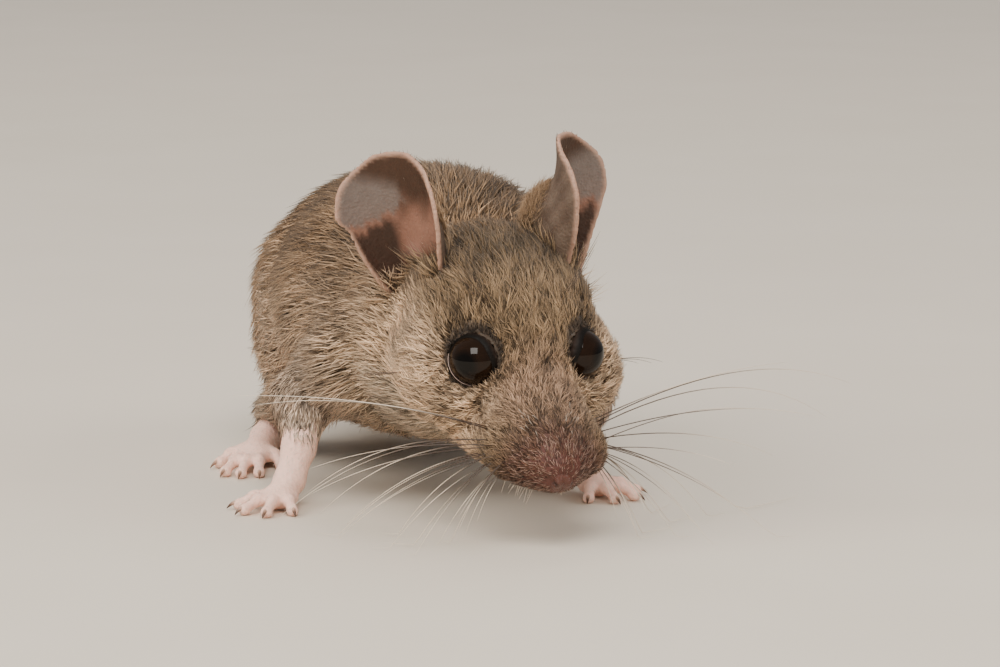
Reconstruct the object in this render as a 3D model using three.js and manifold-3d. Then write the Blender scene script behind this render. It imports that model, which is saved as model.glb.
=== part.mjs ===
// A young grey mouse, life size, crouching with its front paws spread and its nose close to the ground.
//
// Frame: millimetres, +Z up, nose towards -Y, the mouse's own left at +X. The floor is z = 0. The
// parts are made about the middle of the body and moved at the end, so that the origin is on the
// floor under the middle of the animal's bounding box. Every surface is the outline of the coat,
// out to its tips.
//
// Head, neck, trunk and legs are one smooth blend of ellipsoids and tapered bones. It is meshed
// and then parted by thin cuts. Ears are wrapped spheres, and paws and tail are lathes bent along
// curves.

import * as THREE from "three";
import { mergeVertices } from "three/addons/utils/BufferGeometryUtils.js";
import Module from "manifold-3d";

// ---- Driving dimensions, in millimetres and degrees ----

const CUT = 0.3; // the gap between two neighbouring parts

const BACK_HEIGHT = 24.4; // top of the arched back above the floor
const BELLY_HEIGHT = 2.4;
const CHEST_HEIGHT = 4.4;
const RUMP_Y = 24; // hindmost point of the rump
const HIP_WIDTH = 25.2; // over the thighs
const LOIN_WIDTH = 24.6;
const SHOULDER_WIDTH = 19;

const EYE_MID = [2.4, -23, 12.6]; // the point midway between the eyes
const HEAD_PITCH = 31; // nose down
const HEAD_YAW = 8; // turned to the mouse's left
const HEAD_WIDTH = 16.2; // over the cheeks
const EYE_TO_NOSE = 10;
const EYE_RADIUS = 1.8;
const EYE_SPREAD = 4; // from the middle of the head to an eyeball's centre
const EYE_LIFT = 0.4;

const EAR_LENGTH = 12.6; // from its hidden foot to its tip
const EAR_WIDTH = 11.6;
const EAR_THICKNESS = 0.6;
const EAR_WIDEST = 1.7; // the most that a sphere's ring is widened towards the foot
const EAR_FOOT_ROLL = 3; // the radius an ear is rolled to at its foot
const EAR_FOOT_BEND = 3.2; // how far its foot is set back from its tip
// An ear's foot is given in the head's frame. Its opening faces out from straight ahead, and its
// tip leans out (splay) and back (lean). roll is the radius of the scoop at the top, and waist is
// the share by which the foot is narrower. The right ear is held a little lower and further out.
const EARS = {
  left: {
    side: 1,
    foot: [5.7, 7.6, -1.1],
    opening: 57,
    splay: -4,
    lean: 27,
    roll: 4.7,
    waist: 0.1,
  },
  right: {
    side: -1,
    foot: [-5.8, 7.6, -2.2],
    opening: 52,
    splay: 8,
    lean: 31,
    roll: 5.7,
    waist: 0.4,
  },
};

const FOREPAW_LENGTH = 6.6; // wrist to the tip of the middle toe
const HINDFOOT_LENGTH = 15.4; // heel to the tip of the middle toe
const SOLE_FLAT = 0.12; // pared off soles and tail, which leaves small flats on the floor

const TAIL_BASE_RADIUS = 1.9;
const TAIL_TIP_RADIUS = 0.5;
const TAIL_CUTS = [0.3, 0.64]; // where the tail is parted, as shares of its length

const TAIL_FOOT = [-2.5, 5.4]; // where its line starts inside the rump: y from RUMP_Y, and height
const TAIL_TURNS = [
  [0.6, 2.4, 3.1],
  [2, 7, 1.7],
  [4.5, 15, 1.36],
  [9, 28, 1],
  [15, 40, 0.74],
  [21, 51, 0.46],
]; // x, y from RUMP_Y, and height

// After a cut, vertices this close are merged if the mesh stays closed.
const SLIVERS = [0.03, 0.01, 0.003, 0.001, 0.0003];
const TRUNK_CELL = 2.6; // the mesh's step
const HEAD_CELL = 1.72;
const BLEND = 1.6; // how softly the masses of the head run together

// Each side's joints, from the body out. The left front paw stands a little ahead of the right one.
const LEGS = {
  left: {
    side: 1,
    shoulder: [7.2, -8.5, 11],
    elbow: [10.4, -6.4, 7.4],
    wrist: [9.4, -8.2, 3.9],
    frontToes: [11.6, -12.6, 0.6],
    knee: [7.6, 2, 6.6],
    heel: [8.6, 16, 1.6],
    hindToes: [11.8, 1, 0.6],
  },
  right: {
    side: -1,
    shoulder: [-7.2, -8.5, 11],
    elbow: [-10.8, -5.4, 7.6],
    wrist: [-11.7, -8.4, 4.2],
    frontToes: [-15.2, -12.4, 0.6],
    knee: [-7.8, 2.4, 6.6],
    heel: [-9.6, 15.6, 1.6],
    hindToes: [-14.8, 1.2, 0.6],
  },
};

const rad = THREE.MathUtils.degToRad;
const { clamp, lerp, smoothstep } = THREE.MathUtils;
const mixed = (a, b, t) => a.map((v, i) => lerp(v, b[i], t));

const wasm = await Module();
wasm.setup();

// ---- The body as a field: negative inside, zero on the coat's surface ----

function ellipsoid([cx, cy, cz], [rx, ry, rz]) {
  return (x, y, z) => {
    const [px, py, pz] = [(x - cx) / rx, (y - cy) / ry, (z - cz) / rz];
    const near = Math.hypot(px, py, pz);
    const slope = Math.hypot(px / rx, py / ry, pz / rz) || 1;
    return (near * (near - 1)) / slope;
  };
}

function bone([ax, ay, az], startRadius, [bx, by, bz], endRadius) {
  const [dx, dy, dz] = [bx - ax, by - ay, bz - az];
  const squared = dx * dx + dy * dy + dz * dz;
  return (x, y, z) => {
    const t = clamp(((x - ax) * dx + (y - ay) * dy + (z - az) * dz) / squared, 0, 1);
    const away = Math.hypot(x - ax - t * dx, y - ay - t * dy, z - az - t * dz);
    return away - lerp(startRadius, endRadius, t);
  };
}

function softMin(a, b, softness) {
  const overlap = Math.max(softness - Math.abs(a - b), 0);
  return Math.min(a, b) - (overlap * overlap) / (4 * softness);
}

const blend = (softness, fields) => (x, y, z) =>
  fields.map((field) => field(x, y, z)).reduce((a, b) => softMin(a, b, softness));

const bothSides = (make) => [1, -1].map(make);

// The head's own frame has its origin midway between the eyes, -y to the nose and +z to the crown.
const headPose = new THREE.Matrix4()
  .makeTranslation(...EYE_MID)
  .multiply(new THREE.Matrix4().makeRotationZ(rad(HEAD_YAW)))
  .multiply(new THREE.Matrix4().makeRotationX(rad(HEAD_PITCH)));

function posed(field, pose) {
  const e = pose.clone().invert().elements;
  return (x, y, z) =>
    field(
      e[0] * x + e[4] * y + e[8] * z + e[12],
      e[1] * x + e[5] * y + e[9] * z + e[13],
      e[2] * x + e[6] * y + e[10] * z + e[14],
    );
}

function headField() {
  const half = HEAD_WIDTH / 2;
  const nose = -EYE_TO_NOSE;
  return blend(BLEND, [
    ellipsoid([0, 6, 0.2], [half * 0.86, 8.2, 5.3]), // braincase
    bone([0, 0.8, -1.3], 4.2, [0, nose * 0.74, -2.7], 2.45), // face and snout
    bone([0, -1, -4.2], 2.4, [0, nose * 0.55, -4.7], 1.3), // lower jaw
    ...bothSides((s) => ellipsoid([s * 2.3, -0.6, -4.5], [3.1, 5.1, 2.55])), // jowls
    ellipsoid([0, nose * 0.92, -2.7], [1.6, 1.1, 1.25]), // end of the nose
    ...bothSides((s) => ellipsoid([s * half * 0.54, 3, -2.8], [half * 0.54, 5.6, 4.1])), // cheeks
    ...bothSides((s) => ellipsoid([s * 2.2, nose * 0.6, -3], [2.6, 3.1, 2.1])), // whisker pads
    ...bothSides((s) => ellipsoid([s * 3.7, 0.3, 0.3], [1.5, 2.5, 2.4])), // rims of the eye sockets
    ...bothSides((s) => ellipsoid([s * 2.6, -3.4, -1.3], [1.4, 2.2, 1.2])), // beside the bridge
    ...bothSides((s) => ellipsoid([s * 3.6, 11.3, 4.5], [1.7, 1.7, 2.2])), // swellings behind the ears
  ]);
}

// An ellipsoid given by its lowest and highest point.
function standing(x, y, low, high, halfWidth, halfLength) {
  return ellipsoid([x, y, (low + high) / 2], [halfWidth, halfLength, (high - low) / 2]);
}

function torsoField() {
  return blend(4.5, [
    standing(0, RUMP_Y - 12, BELLY_HEIGHT, BACK_HEIGHT - 1.2, HIP_WIDTH * 0.45, 12), // rump
    standing(0, 1.5, BELLY_HEIGHT, BACK_HEIGHT, LOIN_WIDTH / 2, 13), // arched back
    standing(0, -8.5, CHEST_HEIGHT, BACK_HEIGHT - 4.4, SHOULDER_WIDTH / 2, 9), // chest
    standing(1, -13, CHEST_HEIGHT + 1.6, BACK_HEIGHT - 5.2, 6.8, 7.5), // neck
  ]);
}

const thighCentre = ({ side, knee }) => [side * (HIP_WIDTH / 2 - 4.4), knee[1] + 6.6, 11.4];

const upperLegs = (leg) => [
  bone(leg.shoulder, 3.4, leg.elbow, 2.1),
  ellipsoid(thighCentre(leg), [4, 8, 7.4]),
];

const lowerLegs = (leg) => [
  bone(leg.elbow, 2.1, leg.wrist, 1.4),
  bone(leg.knee, 2.6, [leg.heel[0], leg.heel[1] - 1.5, leg.heel[2] + 1.8], 1.8),
];

const bulk = [torsoField(), posed(headField(), headPose), ...Object.values(LEGS).flatMap(upperLegs)];
const trunkField = blend(2.4, bulk);
const bodyField = blend(2.4, [...bulk, ...Object.values(LEGS).flatMap(lowerLegs)]);

// ---- Meshing a field: one vertex in each cell that the surface crosses, pulled onto the surface ----

function gradient(field, p) {
  const e = 0.02;
  return new THREE.Vector3(
    field(p.x + e, p.y, p.z) - field(p.x - e, p.y, p.z),
    field(p.x, p.y + e, p.z) - field(p.x, p.y - e, p.z),
    field(p.x, p.y, p.z + e) - field(p.x, p.y, p.z - e),
  ).divideScalar(2 * e);
}

function pullOnto(field, p, reach) {
  for (let pass = 0; pass < 3; pass++) {
    const slope = gradient(field, p);
    const step = -field(p.x, p.y, p.z) / Math.max(slope.lengthSq(), 0.1);
    p.addScaledVector(slope, clamp(step, -reach, reach));
  }
  return p;
}

const CORNERS = [0, 1, 2, 3, 4, 5, 6, 7].map((n) => [n & 1, (n >> 1) & 1, (n >> 2) & 1]);
const EDGES = CORNERS.flatMap((corner, n) =>
  [1, 2, 4].filter((bit) => !(n & bit)).map((bit) => [corner, CORNERS[n | bit]]),
);

function meshField(field, { min, max }, cell) {
  const low = min.toArray();
  const count = max.toArray().map((v, i) => Math.ceil((v - low[i]) / cell) + 1);
  const at = (i, j, k) => (k * count[1] + j) * count[0] + i;
  const each = (first, visit) => {
    for (let k = first; k < count[2] - 1; k++)
      for (let j = first; j < count[1] - 1; j++)
        for (let i = first; i < count[0] - 1; i++) visit(i, j, k);
  };

  const value = new Float64Array(count[0] * count[1] * count[2]).fill(1);
  each(0, (i, j, k) => {
    value[at(i, j, k)] = field(low[0] + i * cell, low[1] + j * cell, low[2] + k * cell);
  });

  const points = [];
  const vertexIn = new Map();
  each(0, (i, j, k) => {
    const crossings = [];
    for (const [a, b] of EDGES) {
      const from = value[at(i + a[0], j + a[1], k + a[2])];
      const to = value[at(i + b[0], j + b[1], k + b[2])];
      if (from < 0 !== to < 0) crossings.push(new THREE.Vector3(...mixed(a, b, from / (from - to))));
    }
    if (!crossings.length) return;
    const middle = crossings.reduce((sum, p) => sum.add(p)).divideScalar(crossings.length);
    const p = middle.add(new THREE.Vector3(i, j, k)).multiplyScalar(cell).add(min);
    vertexIn.set(at(i, j, k), points.length);
    points.push(pullOnto(field, p, cell / 3));
  });

  const faces = [];
  const quad = (cells, turned) => {
    const [p, q, r, s] = (turned ? cells.reverse() : cells).map((c) => vertexIn.get(c));
    const short = points[p].distanceTo(points[r]) < points[q].distanceTo(points[s]);
    faces.push(...(short ? [p, q, r, p, r, s] : [q, r, s, q, s, p]));
  };
  each(1, (i, j, k) => {
    const inside = value[at(i, j, k)] < 0;
    const here = at(i, j, k);
    const [west, south, below] = [at(i - 1, j, k), at(i, j - 1, k), at(i, j, k - 1)];
    if (inside !== value[at(i + 1, j, k)] < 0)
      quad([at(i, j - 1, k - 1), below, here, south], !inside);
    if (inside !== value[at(i, j + 1, k)] < 0)
      quad([at(i - 1, j, k - 1), west, here, below], !inside);
    if (inside !== value[at(i, j, k + 1)] < 0)
      quad([at(i - 1, j - 1, k), south, here, west], !inside);
  });
  const geometry = new THREE.BufferGeometry().setFromPoints(points);
  return geometry.setIndex(faces);
}

// ---- Solids ----

// The faces whose corners are still three different vertices.
function withoutSlivers(index) {
  const faces = [];
  for (let i = 0; i < index.length; i += 3) {
    const [a, b, c] = index.slice(i, i + 3);
    if (a !== b && b !== c && c !== a) faces.push(a, b, c);
  }
  return faces;
}

// Whether each edge is run along exactly once in each direction.
function isClosed(faces) {
  const edges = new Set();
  for (let i = 0; i < faces.length; i++) {
    const next = i % 3 === 2 ? i - 2 : i + 1;
    edges.add(`${faces[i]} ${faces[next]}`);
  }
  const paired = [...edges].every((edge) => edges.has(edge.split(" ").reverse().join(" ")));
  return edges.size === faces.length && paired;
}

function solidOf(geometry) {
  const bare = geometry.clone();
  bare.deleteAttribute("normal");
  bare.deleteAttribute("uv");
  const merged = mergeVertices(bare, 1e-4);
  const faces = withoutSlivers(merged.index.array);
  const vertProperties = merged.attributes.position.array;
  const build = (list) =>
    new wasm.Manifold(new wasm.Mesh({ numProp: 3, vertProperties, triVerts: new Uint32Array(list) }));
  const solid = build(faces);
  return solid.volume() < 0 ? build(faces.reverse()) : solid;
}

// Where two sheets of skin cross one cell the mesh pinches, so the step shrinks until none do.
function closedMesh(field, box, cell) {
  const geometry = meshField(field, box, cell);
  return isClosed(geometry.index.array) ? solidOf(geometry) : closedMesh(field, box, cell * 0.97);
}

function geometryOf(solid) {
  const mesh = solid.getMesh();
  const cut = new THREE.BufferGeometry();
  cut.setAttribute("position", new THREE.Float32BufferAttribute(mesh.vertProperties, 3));
  cut.setIndex(new THREE.BufferAttribute(mesh.triVerts, 1));
  for (const reach of SLIVERS) {
    const geometry = mergeVertices(cut, reach);
    const faces = withoutSlivers(geometry.index.array);
    if (!isClosed(faces)) continue;
    geometry.setIndex(faces);
    geometry.computeVertexNormals();
    return geometry;
  }
  throw new Error("a cut left an open skin");
}

const largest = (solid) => solid.decompose().reduce((a, b) => (a.volume() > b.volume() ? a : b));

function ball(centre, radii, { pose = new THREE.Matrix4(), grown = 0, detail = 3 } = {}) {
  return solidOf(
    new THREE.IcosahedronGeometry(1, detail)
      .scale(...radii.map((r) => r + grown))
      .translate(...centre)
      .applyMatrix4(pose),
  );
}

// A lathe bent along a curve. radius(t) is half its width at each share t of its length, and
// flat(t) is its height as a share of its width. It closes to a point at both ends.
function bentLathe(points, radius, { steps = 8, sides = 8, flat = () => 1 } = {}) {
  const curve = new THREE.CatmullRomCurve3(points.map((p) => new THREE.Vector3(...p)));
  const profile = [];
  for (let i = 0; i <= steps; i++) {
    const t = i / steps;
    profile.push(new THREE.Vector2(i % steps ? radius(t) : 0, t));
  }
  const geometry = new THREE.LatheGeometry(profile, sides);
  const position = geometry.attributes.position;
  for (let i = 0; i < position.count; i++) {
    const t = position.getY(i);
    const ahead = curve.getTangentAt(t);
    const across = new THREE.Vector3(ahead.y, -ahead.x, 0).normalize();
    const up = new THREE.Vector3().crossVectors(across, ahead);
    const p = curve.getPointAt(t);
    p.addScaledVector(across, position.getX(i)).addScaledVector(up, position.getZ(i) * flat(t));
    position.setXYZ(i, p.x, p.y, p.z);
  }
  return solidOf(geometry);
}

// Swells from nothing over the first share of a length and closes over the last.
function roundEnds(t, first, last) {
  const [start, end] = [Math.min(t / first, 1), Math.min((1 - t) / last, 1)];
  return Math.sqrt(1 - (1 - start) ** 2) * Math.sqrt(1 - (1 - end) ** 2);
}

const space = solidOf(new THREE.BoxGeometry(300, 300, 300).translate(0, 0, 150 + SOLE_FLAT));
const onFloor = (solid) => solid.intersect(space).translate([0, 0, -SOLE_FLAT]);

// ---- Paws ----

const headingOf = (from, to) => Math.atan2(to[0] - from[0], from[1] - to[1]);

// A point so far along a heading, so far off to its right, at a height.
const along = (from, heading, ahead, aside, height) => [
  from[0] + Math.sin(heading) * ahead - Math.cos(heading) * aside,
  from[1] - Math.cos(heading) * ahead - Math.sin(heading) * aside,
  height,
];

function toe(base, heading, length, radius) {
  const knuckle = along(base, heading, length * 0.45, 0, radius * 1.5);
  const tip = along(base, heading, length, 0, radius * 0.9);
  const width = (t) => radius * roundEnds(t, 0.15, 0.25);
  return bentLathe([base, knuckle, tip], width, { sides: 6, steps: 5 });
}

function forepawBody({ wrist, frontToes }, grown = 0) {
  const near = mixed(wrist, frontToes, 0.25);
  const palm = mixed(wrist, frontToes, 0.5);
  const points = [
    wrist,
    [near[0], near[1], 2 + SOLE_FLAT],
    [palm[0], palm[1], 1.1],
    [...mixed(wrist, frontToes, 0.68).slice(0, 2), 0.9],
  ];
  const width = (t) => (lerp(1.3, 1.8, smoothstep(t, 0.2, 0.8)) + grown) * roundEnds(t, 0.15, 0.3);
  const flat = (t) => lerp(1, 0.6, smoothstep(t, 0.2, 0.8));
  return bentLathe(points, width, { steps: 8, sides: 8, flat });
}

function forepaw(leg) {
  const { side, wrist, frontToes } = leg;
  const heading = headingOf(wrist, frontToes);
  const palm = [...mixed(wrist, frontToes, 0.45).slice(0, 2), 0.9];
  const reach = [0.4, 0.5, 0.5, 0.42];
  const toes = [-46, -14, 16, 50].map((spread, n) => {
    const turn = heading + rad(side * spread);
    return toe(along(palm, turn, 0.9, 0, 0.9), turn, FOREPAW_LENGTH * reach[n], 0.48);
  });
  return onFloor(toes.reduce((paw, one) => paw.add(one), forepawBody(leg)));
}

function hindfootBody({ heel, hindToes }, grown = 0) {
  const heading = headingOf(heel, hindToes);
  const points = [[0, 1.7], [0.25, 1.5], [0.5, 1.2], [0.74, 0.95]].map(([share, height]) =>
    along(heel, heading, HINDFOOT_LENGTH * share, 0, height),
  );
  const width = (t) => (lerp(1.4, 1.75, t) + grown) * roundEnds(t, 0.15, 0.2);
  return bentLathe(points, width, { steps: 8, sides: 8, flat: (t) => lerp(0.95, 0.6, t) });
}

function hindfoot(leg) {
  const { side, heel, hindToes } = leg;
  const heading = headingOf(heel, hindToes);
  const reach = [0.2, 0.27, 0.3, 0.27, 0.19];
  const toes = [-30, -12, 0, 12, 34].map((spread, n) => {
    const turn = heading + rad(side * spread);
    const outermost = n === 0 || n === 4;
    const start = HINDFOOT_LENGTH * (outermost ? 0.56 : 0.68);
    const base = along(heel, heading, start, side * (1.1 - n * 0.55), 0.9);
    return toe(base, turn, HINDFOOT_LENGTH * reach[n], 0.5);
  });
  return onFloor(toes.reduce((foot, one) => foot.add(one), hindfootBody(leg)));
}

// ---- Ears ----

const earPose = ({ side, foot, opening, splay, lean }) =>
  headPose
    .clone()
    .multiply(new THREE.Matrix4().makeTranslation(...foot))
    .multiply(new THREE.Matrix4().makeRotationY(rad(side * splay)))
    .multiply(new THREE.Matrix4().makeRotationX(rad(-lean)))
    .multiply(new THREE.Matrix4().makeRotationZ(rad(side * opening)));

// A flattened sphere rolled into a scoop that opens forwards, tight at its foot and wide at its
// top. Below its middle its sides are straightened.
function ear(shape) {
  const geometry = new THREE.SphereGeometry(1, 20, 10).rotateX(Math.PI / 2);
  const position = geometry.attributes.position;
  for (let i = 0; i < position.count; i++) {
    const height = (position.getY(i) + 1) / 2;
    const through = position.getZ(i);
    const thickness = Math.sign(through) * Math.abs(through) ** 0.6 * EAR_THICKNESS;
    const t = 2 * height - 1;
    const straightened = (1 - shape.waist * t * t) / Math.sqrt(1 - t * t + 1e-6);
    const outline = t < 0 ? Math.min(straightened, EAR_WIDEST) : 1;
    const aside = (position.getX(i) * EAR_WIDTH * outline) / 2;
    const roll = lerp(EAR_FOOT_ROLL, shape.roll, smoothstep(height, 0.1, 0.8));
    const angle = aside / roll;
    const radius = roll - thickness / 2;
    const bend = lerp(EAR_FOOT_BEND, 0, smoothstep(height, 0, 0.9));
    const back = radius * Math.cos(angle) - roll + bend;
    position.setXYZ(i, radius * Math.sin(angle), back, height * EAR_LENGTH);
  }
  return solidOf(geometry.applyMatrix4(earPose(shape)));
}

// ---- Tail: it leaves the rump low, lies on the floor and swings to the mouse's left ----

function tailCurve() {
  const [behind, height] = TAIL_FOOT;
  return [[0, behind, height], ...TAIL_TURNS].map(([x, y, z]) => [x, RUMP_Y + y, z]);
}

function tail(grown = 0) {
  const width = (t) => {
    const radius = lerp(TAIL_BASE_RADIUS, TAIL_TIP_RADIUS, t ** 0.85) + grown;
    return radius * roundEnds(t, 0.03, 0.03);
  };
  return bentLathe(tailCurve(), width, { steps: 30, sides: 7 });
}

function tailPieces() {
  const curve = new THREE.CatmullRomCurve3(tailCurve().map((p) => new THREE.Vector3(...p)));
  const pieces = [];
  let rest = onFloor(tail());
  for (const share of TAIL_CUTS) {
    const at = curve.getPointAt(share);
    const ahead = curve.getTangentAt(share).toArray();
    const plane = at.dot(curve.getTangentAt(share));
    const [beyond, before] = rest.splitByPlane(ahead, plane);
    pieces.push(before.trimByPlane(ahead.map((v) => -v), -(plane - CUT / 2)));
    rest = beyond.trimByPlane(ahead, plane + CUT / 2);
  }
  return [...pieces, rest];
}

// ---- The whole animal ----

const boxOf = (low, high) => new THREE.Box3(new THREE.Vector3(...low), new THREE.Vector3(...high));
const wholeBox = boxOf([-17, -37, -1], [17, RUMP_Y + 4, BACK_HEIGHT + 4]);
const trunkMesh = closedMesh(trunkField, wholeBox, TRUNK_CELL);
const fineMesh = closedMesh(bodyField, wholeBox, HEAD_CELL);

const HEAD_ZONE = { centre: [0, 0, -0.5], radii: [13, 12.4, 12] };
const NECK_ZONE = { centre: [0, 0.5, -0.5], radii: [15, 17, 15.5] };
const NOSE_ZONE = { centre: [0, -EYE_TO_NOSE * 1.02, -2.4], radii: [1.25, 1, 1] };

const inHead = (zone, grown = 0) => ball(zone.centre, zone.radii, { pose: headPose, grown });
const forelegZone = (leg, grown = 0) =>
  ball([leg.elbow[0] + leg.side * 4.6, leg.elbow[1] - 2, 4], [7, 7.4, 6.8], { grown });
const hindlegZone = (leg, grown = 0) =>
  ball([leg.side * (HIP_WIDTH / 2 + 3), leg.knee[1] + 6.4, 5.4], [8, 11, 8.6], { grown });
const eyeCentre = (side) => [side * EYE_SPREAD, 0, EYE_LIFT];
const lidCentre = (side) => [side * (EYE_SPREAD + 0.9), -1, EYE_LIFT + 0.3];
const lidOpening = (side) => ball(lidCentre(side), [2.05, 2.05, 2.05], { pose: headPose });
const eyeball = (side, grown = 0) =>
  ball(eyeCentre(side), [EYE_RADIUS, EYE_RADIUS, EYE_RADIUS], { pose: headPose, grown });

function buildSolids() {
  const { left, right } = LEGS;
  const sockets = eyeball(1, CUT).add(eyeball(-1, CUT)).add(lidOpening(1)).add(lidOpening(-1));
  const paws = [left, right].map((leg) => forepawBody(leg, CUT)).reduce((a, b) => a.add(b));
  const feet = [left, right].map((leg) => hindfootBody(leg, CUT)).reduce((a, b) => a.add(b));
  const grown = (x, y, z) => bodyField(x, y, z) - CUT;
  const grownBody = closedMesh(grown, wholeBox, HEAD_CELL);

  const solids = {
    head: fineMesh
      .intersect(inHead(HEAD_ZONE))
      .subtract(sockets)
      .subtract(inHead(NOSE_ZONE, CUT)),
    nose: fineMesh.intersect(inHead(NOSE_ZONE)),
    neck: trunkMesh.intersect(inHead(NECK_ZONE)).subtract(inHead(HEAD_ZONE, CUT)),
    trunk: trunkMesh.subtract(inHead(NECK_ZONE, CUT)).subtract(feet).subtract(tail(CUT)),
  };
  for (const [name, leg] of Object.entries(LEGS)) {
    solids.neck = solids.neck.subtract(forelegZone(leg, CUT));
    solids.trunk = solids.trunk.subtract(forelegZone(leg, CUT)).subtract(hindlegZone(leg, CUT));
    solids[`foreleg_${name}`] = fineMesh.intersect(forelegZone(leg)).subtract(paws);
    solids[`hindleg_${name}`] = fineMesh.intersect(hindlegZone(leg)).subtract(feet);
    solids[`forepaw_${name}`] = forepaw(leg);
    solids[`hindfoot_${name}`] = hindfoot(leg);
    solids[`ear_${name}`] = ear(EARS[name]).subtract(grownBody);
    solids[`eye_${name}`] = eyeball(leg.side);
  }
  const [base, middle, tip] = tailPieces();
  return { ...solids, tail_base: base, tail_middle: middle, tail_tip: tip };
}

const MATERIALS = {
  coat: { color: 0x7f6c58, roughness: 0.9, metalness: 0 },
  skin: { color: 0xb98f7c, roughness: 0.6, metalness: 0 },
  ear: { color: 0x7b6455, roughness: 0.7, metalness: 0 },
  nose: { color: 0x7a4a38, roughness: 0.45, metalness: 0 },
  eye: { color: 0x100b08, roughness: 0.08, metalness: 0 },
  tail: { color: 0x6f5c4e, roughness: 0.75, metalness: 0 },
};
const MATERIAL_OF = {
  ear: "ear",
  eye: "eye",
  nose: "nose",
  tail: "tail",
  forepaw: "skin",
  hindfoot: "skin",
};

const mouse = new THREE.Group();
for (const [name, solid] of Object.entries(buildSolids())) {
  const look = MATERIALS[MATERIAL_OF[name.split("_")[0]] ?? "coat"];
  const mesh = new THREE.Mesh(geometryOf(largest(solid)), new THREE.MeshStandardMaterial(look));
  mesh.name = name;
  mouse.add(mesh);
}

const middle = new THREE.Box3().setFromObject(mouse).getCenter(new THREE.Vector3());
mouse.position.set(-middle.x, -middle.y, 0);

export default mouse;
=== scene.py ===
"""A young grey mouse, life size: a skin with its coat, eyes, lids, nose, claws and whiskers.

Shapes are in millimetres in the body's own frame, with the nose towards -Y and the floor at z = 0.
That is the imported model's frame but for one move, BODY_PLACE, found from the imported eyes. A shape
is a field: negative inside, zero on the surface. The skin is the coat's outline moved inwards by
the coat's depth.
"""

import math

import bpy
import numpy as np
import openvdb
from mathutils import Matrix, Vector


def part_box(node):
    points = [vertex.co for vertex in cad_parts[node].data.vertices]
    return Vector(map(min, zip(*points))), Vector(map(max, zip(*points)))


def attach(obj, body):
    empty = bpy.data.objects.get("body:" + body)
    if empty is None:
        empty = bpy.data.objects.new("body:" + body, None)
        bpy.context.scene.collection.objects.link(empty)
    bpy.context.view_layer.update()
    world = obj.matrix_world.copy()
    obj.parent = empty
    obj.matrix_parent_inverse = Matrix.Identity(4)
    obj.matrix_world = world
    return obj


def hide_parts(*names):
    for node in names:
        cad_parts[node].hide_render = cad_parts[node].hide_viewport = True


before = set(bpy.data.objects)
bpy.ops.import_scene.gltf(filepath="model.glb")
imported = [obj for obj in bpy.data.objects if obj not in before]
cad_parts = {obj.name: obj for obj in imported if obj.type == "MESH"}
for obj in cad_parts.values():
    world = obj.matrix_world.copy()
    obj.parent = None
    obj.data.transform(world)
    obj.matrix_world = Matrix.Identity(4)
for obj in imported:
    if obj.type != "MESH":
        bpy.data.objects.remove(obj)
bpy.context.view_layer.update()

MM = 0.001  # metres in a millimetre
FAR = 9.0  # a field's value where nothing is near
rng = np.random.default_rng(11)

# ---- Driving dimensions, in millimetres and degrees ----

BACK_HEIGHT = 24.4
BELLY_HEIGHT = 2.4
CHEST_HEIGHT = 4.4
RUMP_Y = 24
HIP_WIDTH = 25.2
LOIN_WIDTH = 24.6
SHOULDER_WIDTH = 19

EYE_MID = np.array([2.4, -23, 12.6])
HEAD_PITCH = 31
HEAD_YAW = 8
HEAD_WIDTH = 16.2
EYE_TO_NOSE = 10
EYE_RADIUS = 1.8
EYE_SPREAD = 4.0
EYE_LIFT = 0.4

EAR_LENGTH = 12.6
EAR_WIDTH = 11.6
EARS = {
    "left": {
        "side": 1,
        "foot": [5.7, 7.6, -1.1],
        "opening": 57,
        "splay": -4,
        "lean": 27,
        "roll": 4.7,
        "waist": 0.1,
        "swelling": ([3.9, 11.1, 4.0], [1.25, 1.4, 2.4]),
    },
    "right": {
        "side": -1,
        "foot": [-5.8, 7.6, -2.2],
        "opening": 52,
        "splay": 8,
        "lean": 31,
        "roll": 5.7,
        "waist": 0.4,
        "swelling": ([-4.7, 10.8, 2.8], [0.8, 1.2, 2.2]),
    },
}
FOREPAW_LENGTH = 6.6
HINDFOOT_LENGTH = 15.4
FRONT_TOE_RADIUS, HIND_TOE_RADIUS = 0.45, 0.46

LEGS = {
    "left": {
        "side": 1,
        "shoulder": [7.2, -8.5, 11],
        "elbow": [10.4, -6.4, 7.4],
        "wrist": [9.4, -8.2, 3.9],
        "front_toes": [11.6, -12.6, 0.6],
        "knee": [7.6, 2, 6.6],
        "heel": [8.6, 16, 1.6],
        "hind_toes": [11.8, 1, 0.6],
    },
    "right": {
        "side": -1,
        "shoulder": [-7.2, -8.5, 11],
        "elbow": [-10.8, -5.4, 7.6],
        "wrist": [-11.7, -8.4, 4.2],
        "front_toes": [-15.2, -12.4, 0.6],
        "knee": [-7.8, 2.4, 6.6],
        "heel": [-9.6, 15.6, 1.6],
        "hind_toes": [-14.8, 1.2, 0.6],
    },
}
legs = [{key: np.array(value, float) for key, value in leg.items()} for leg in LEGS.values()]

# The tail's middle line: how far to the left, how far behind the rump and how high.
TAIL_TURNS = [
    (0, -2.5, 5.4), (0.6, 2.4, 3.1), (2, 7, 1.7), (4.5, 15, 1.36), (9, 28, 1), (15, 40, 0.74),
    (21, 51, 0.46),
]
TAIL_RADII = (1.85, 0.46)
TAIL_RING = 0.55  # from one ring to the next

SKIN_STEP = 0.25  # the skin mesh's cell
SKIN_BOX = [-19, -38, -0.5], [23, 76.5, 31]
COAT_DEPTH = 1.8  # where the coat is thickest
FLOOR_GAP = 0.02  # nothing reaches nearer the floor than this

# ---- Small helpers ----


def smoothstep(x, low, high):
    t = np.clip((x - low) / (high - low), 0, 1)
    return t * t * (3 - 2 * t)


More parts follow.
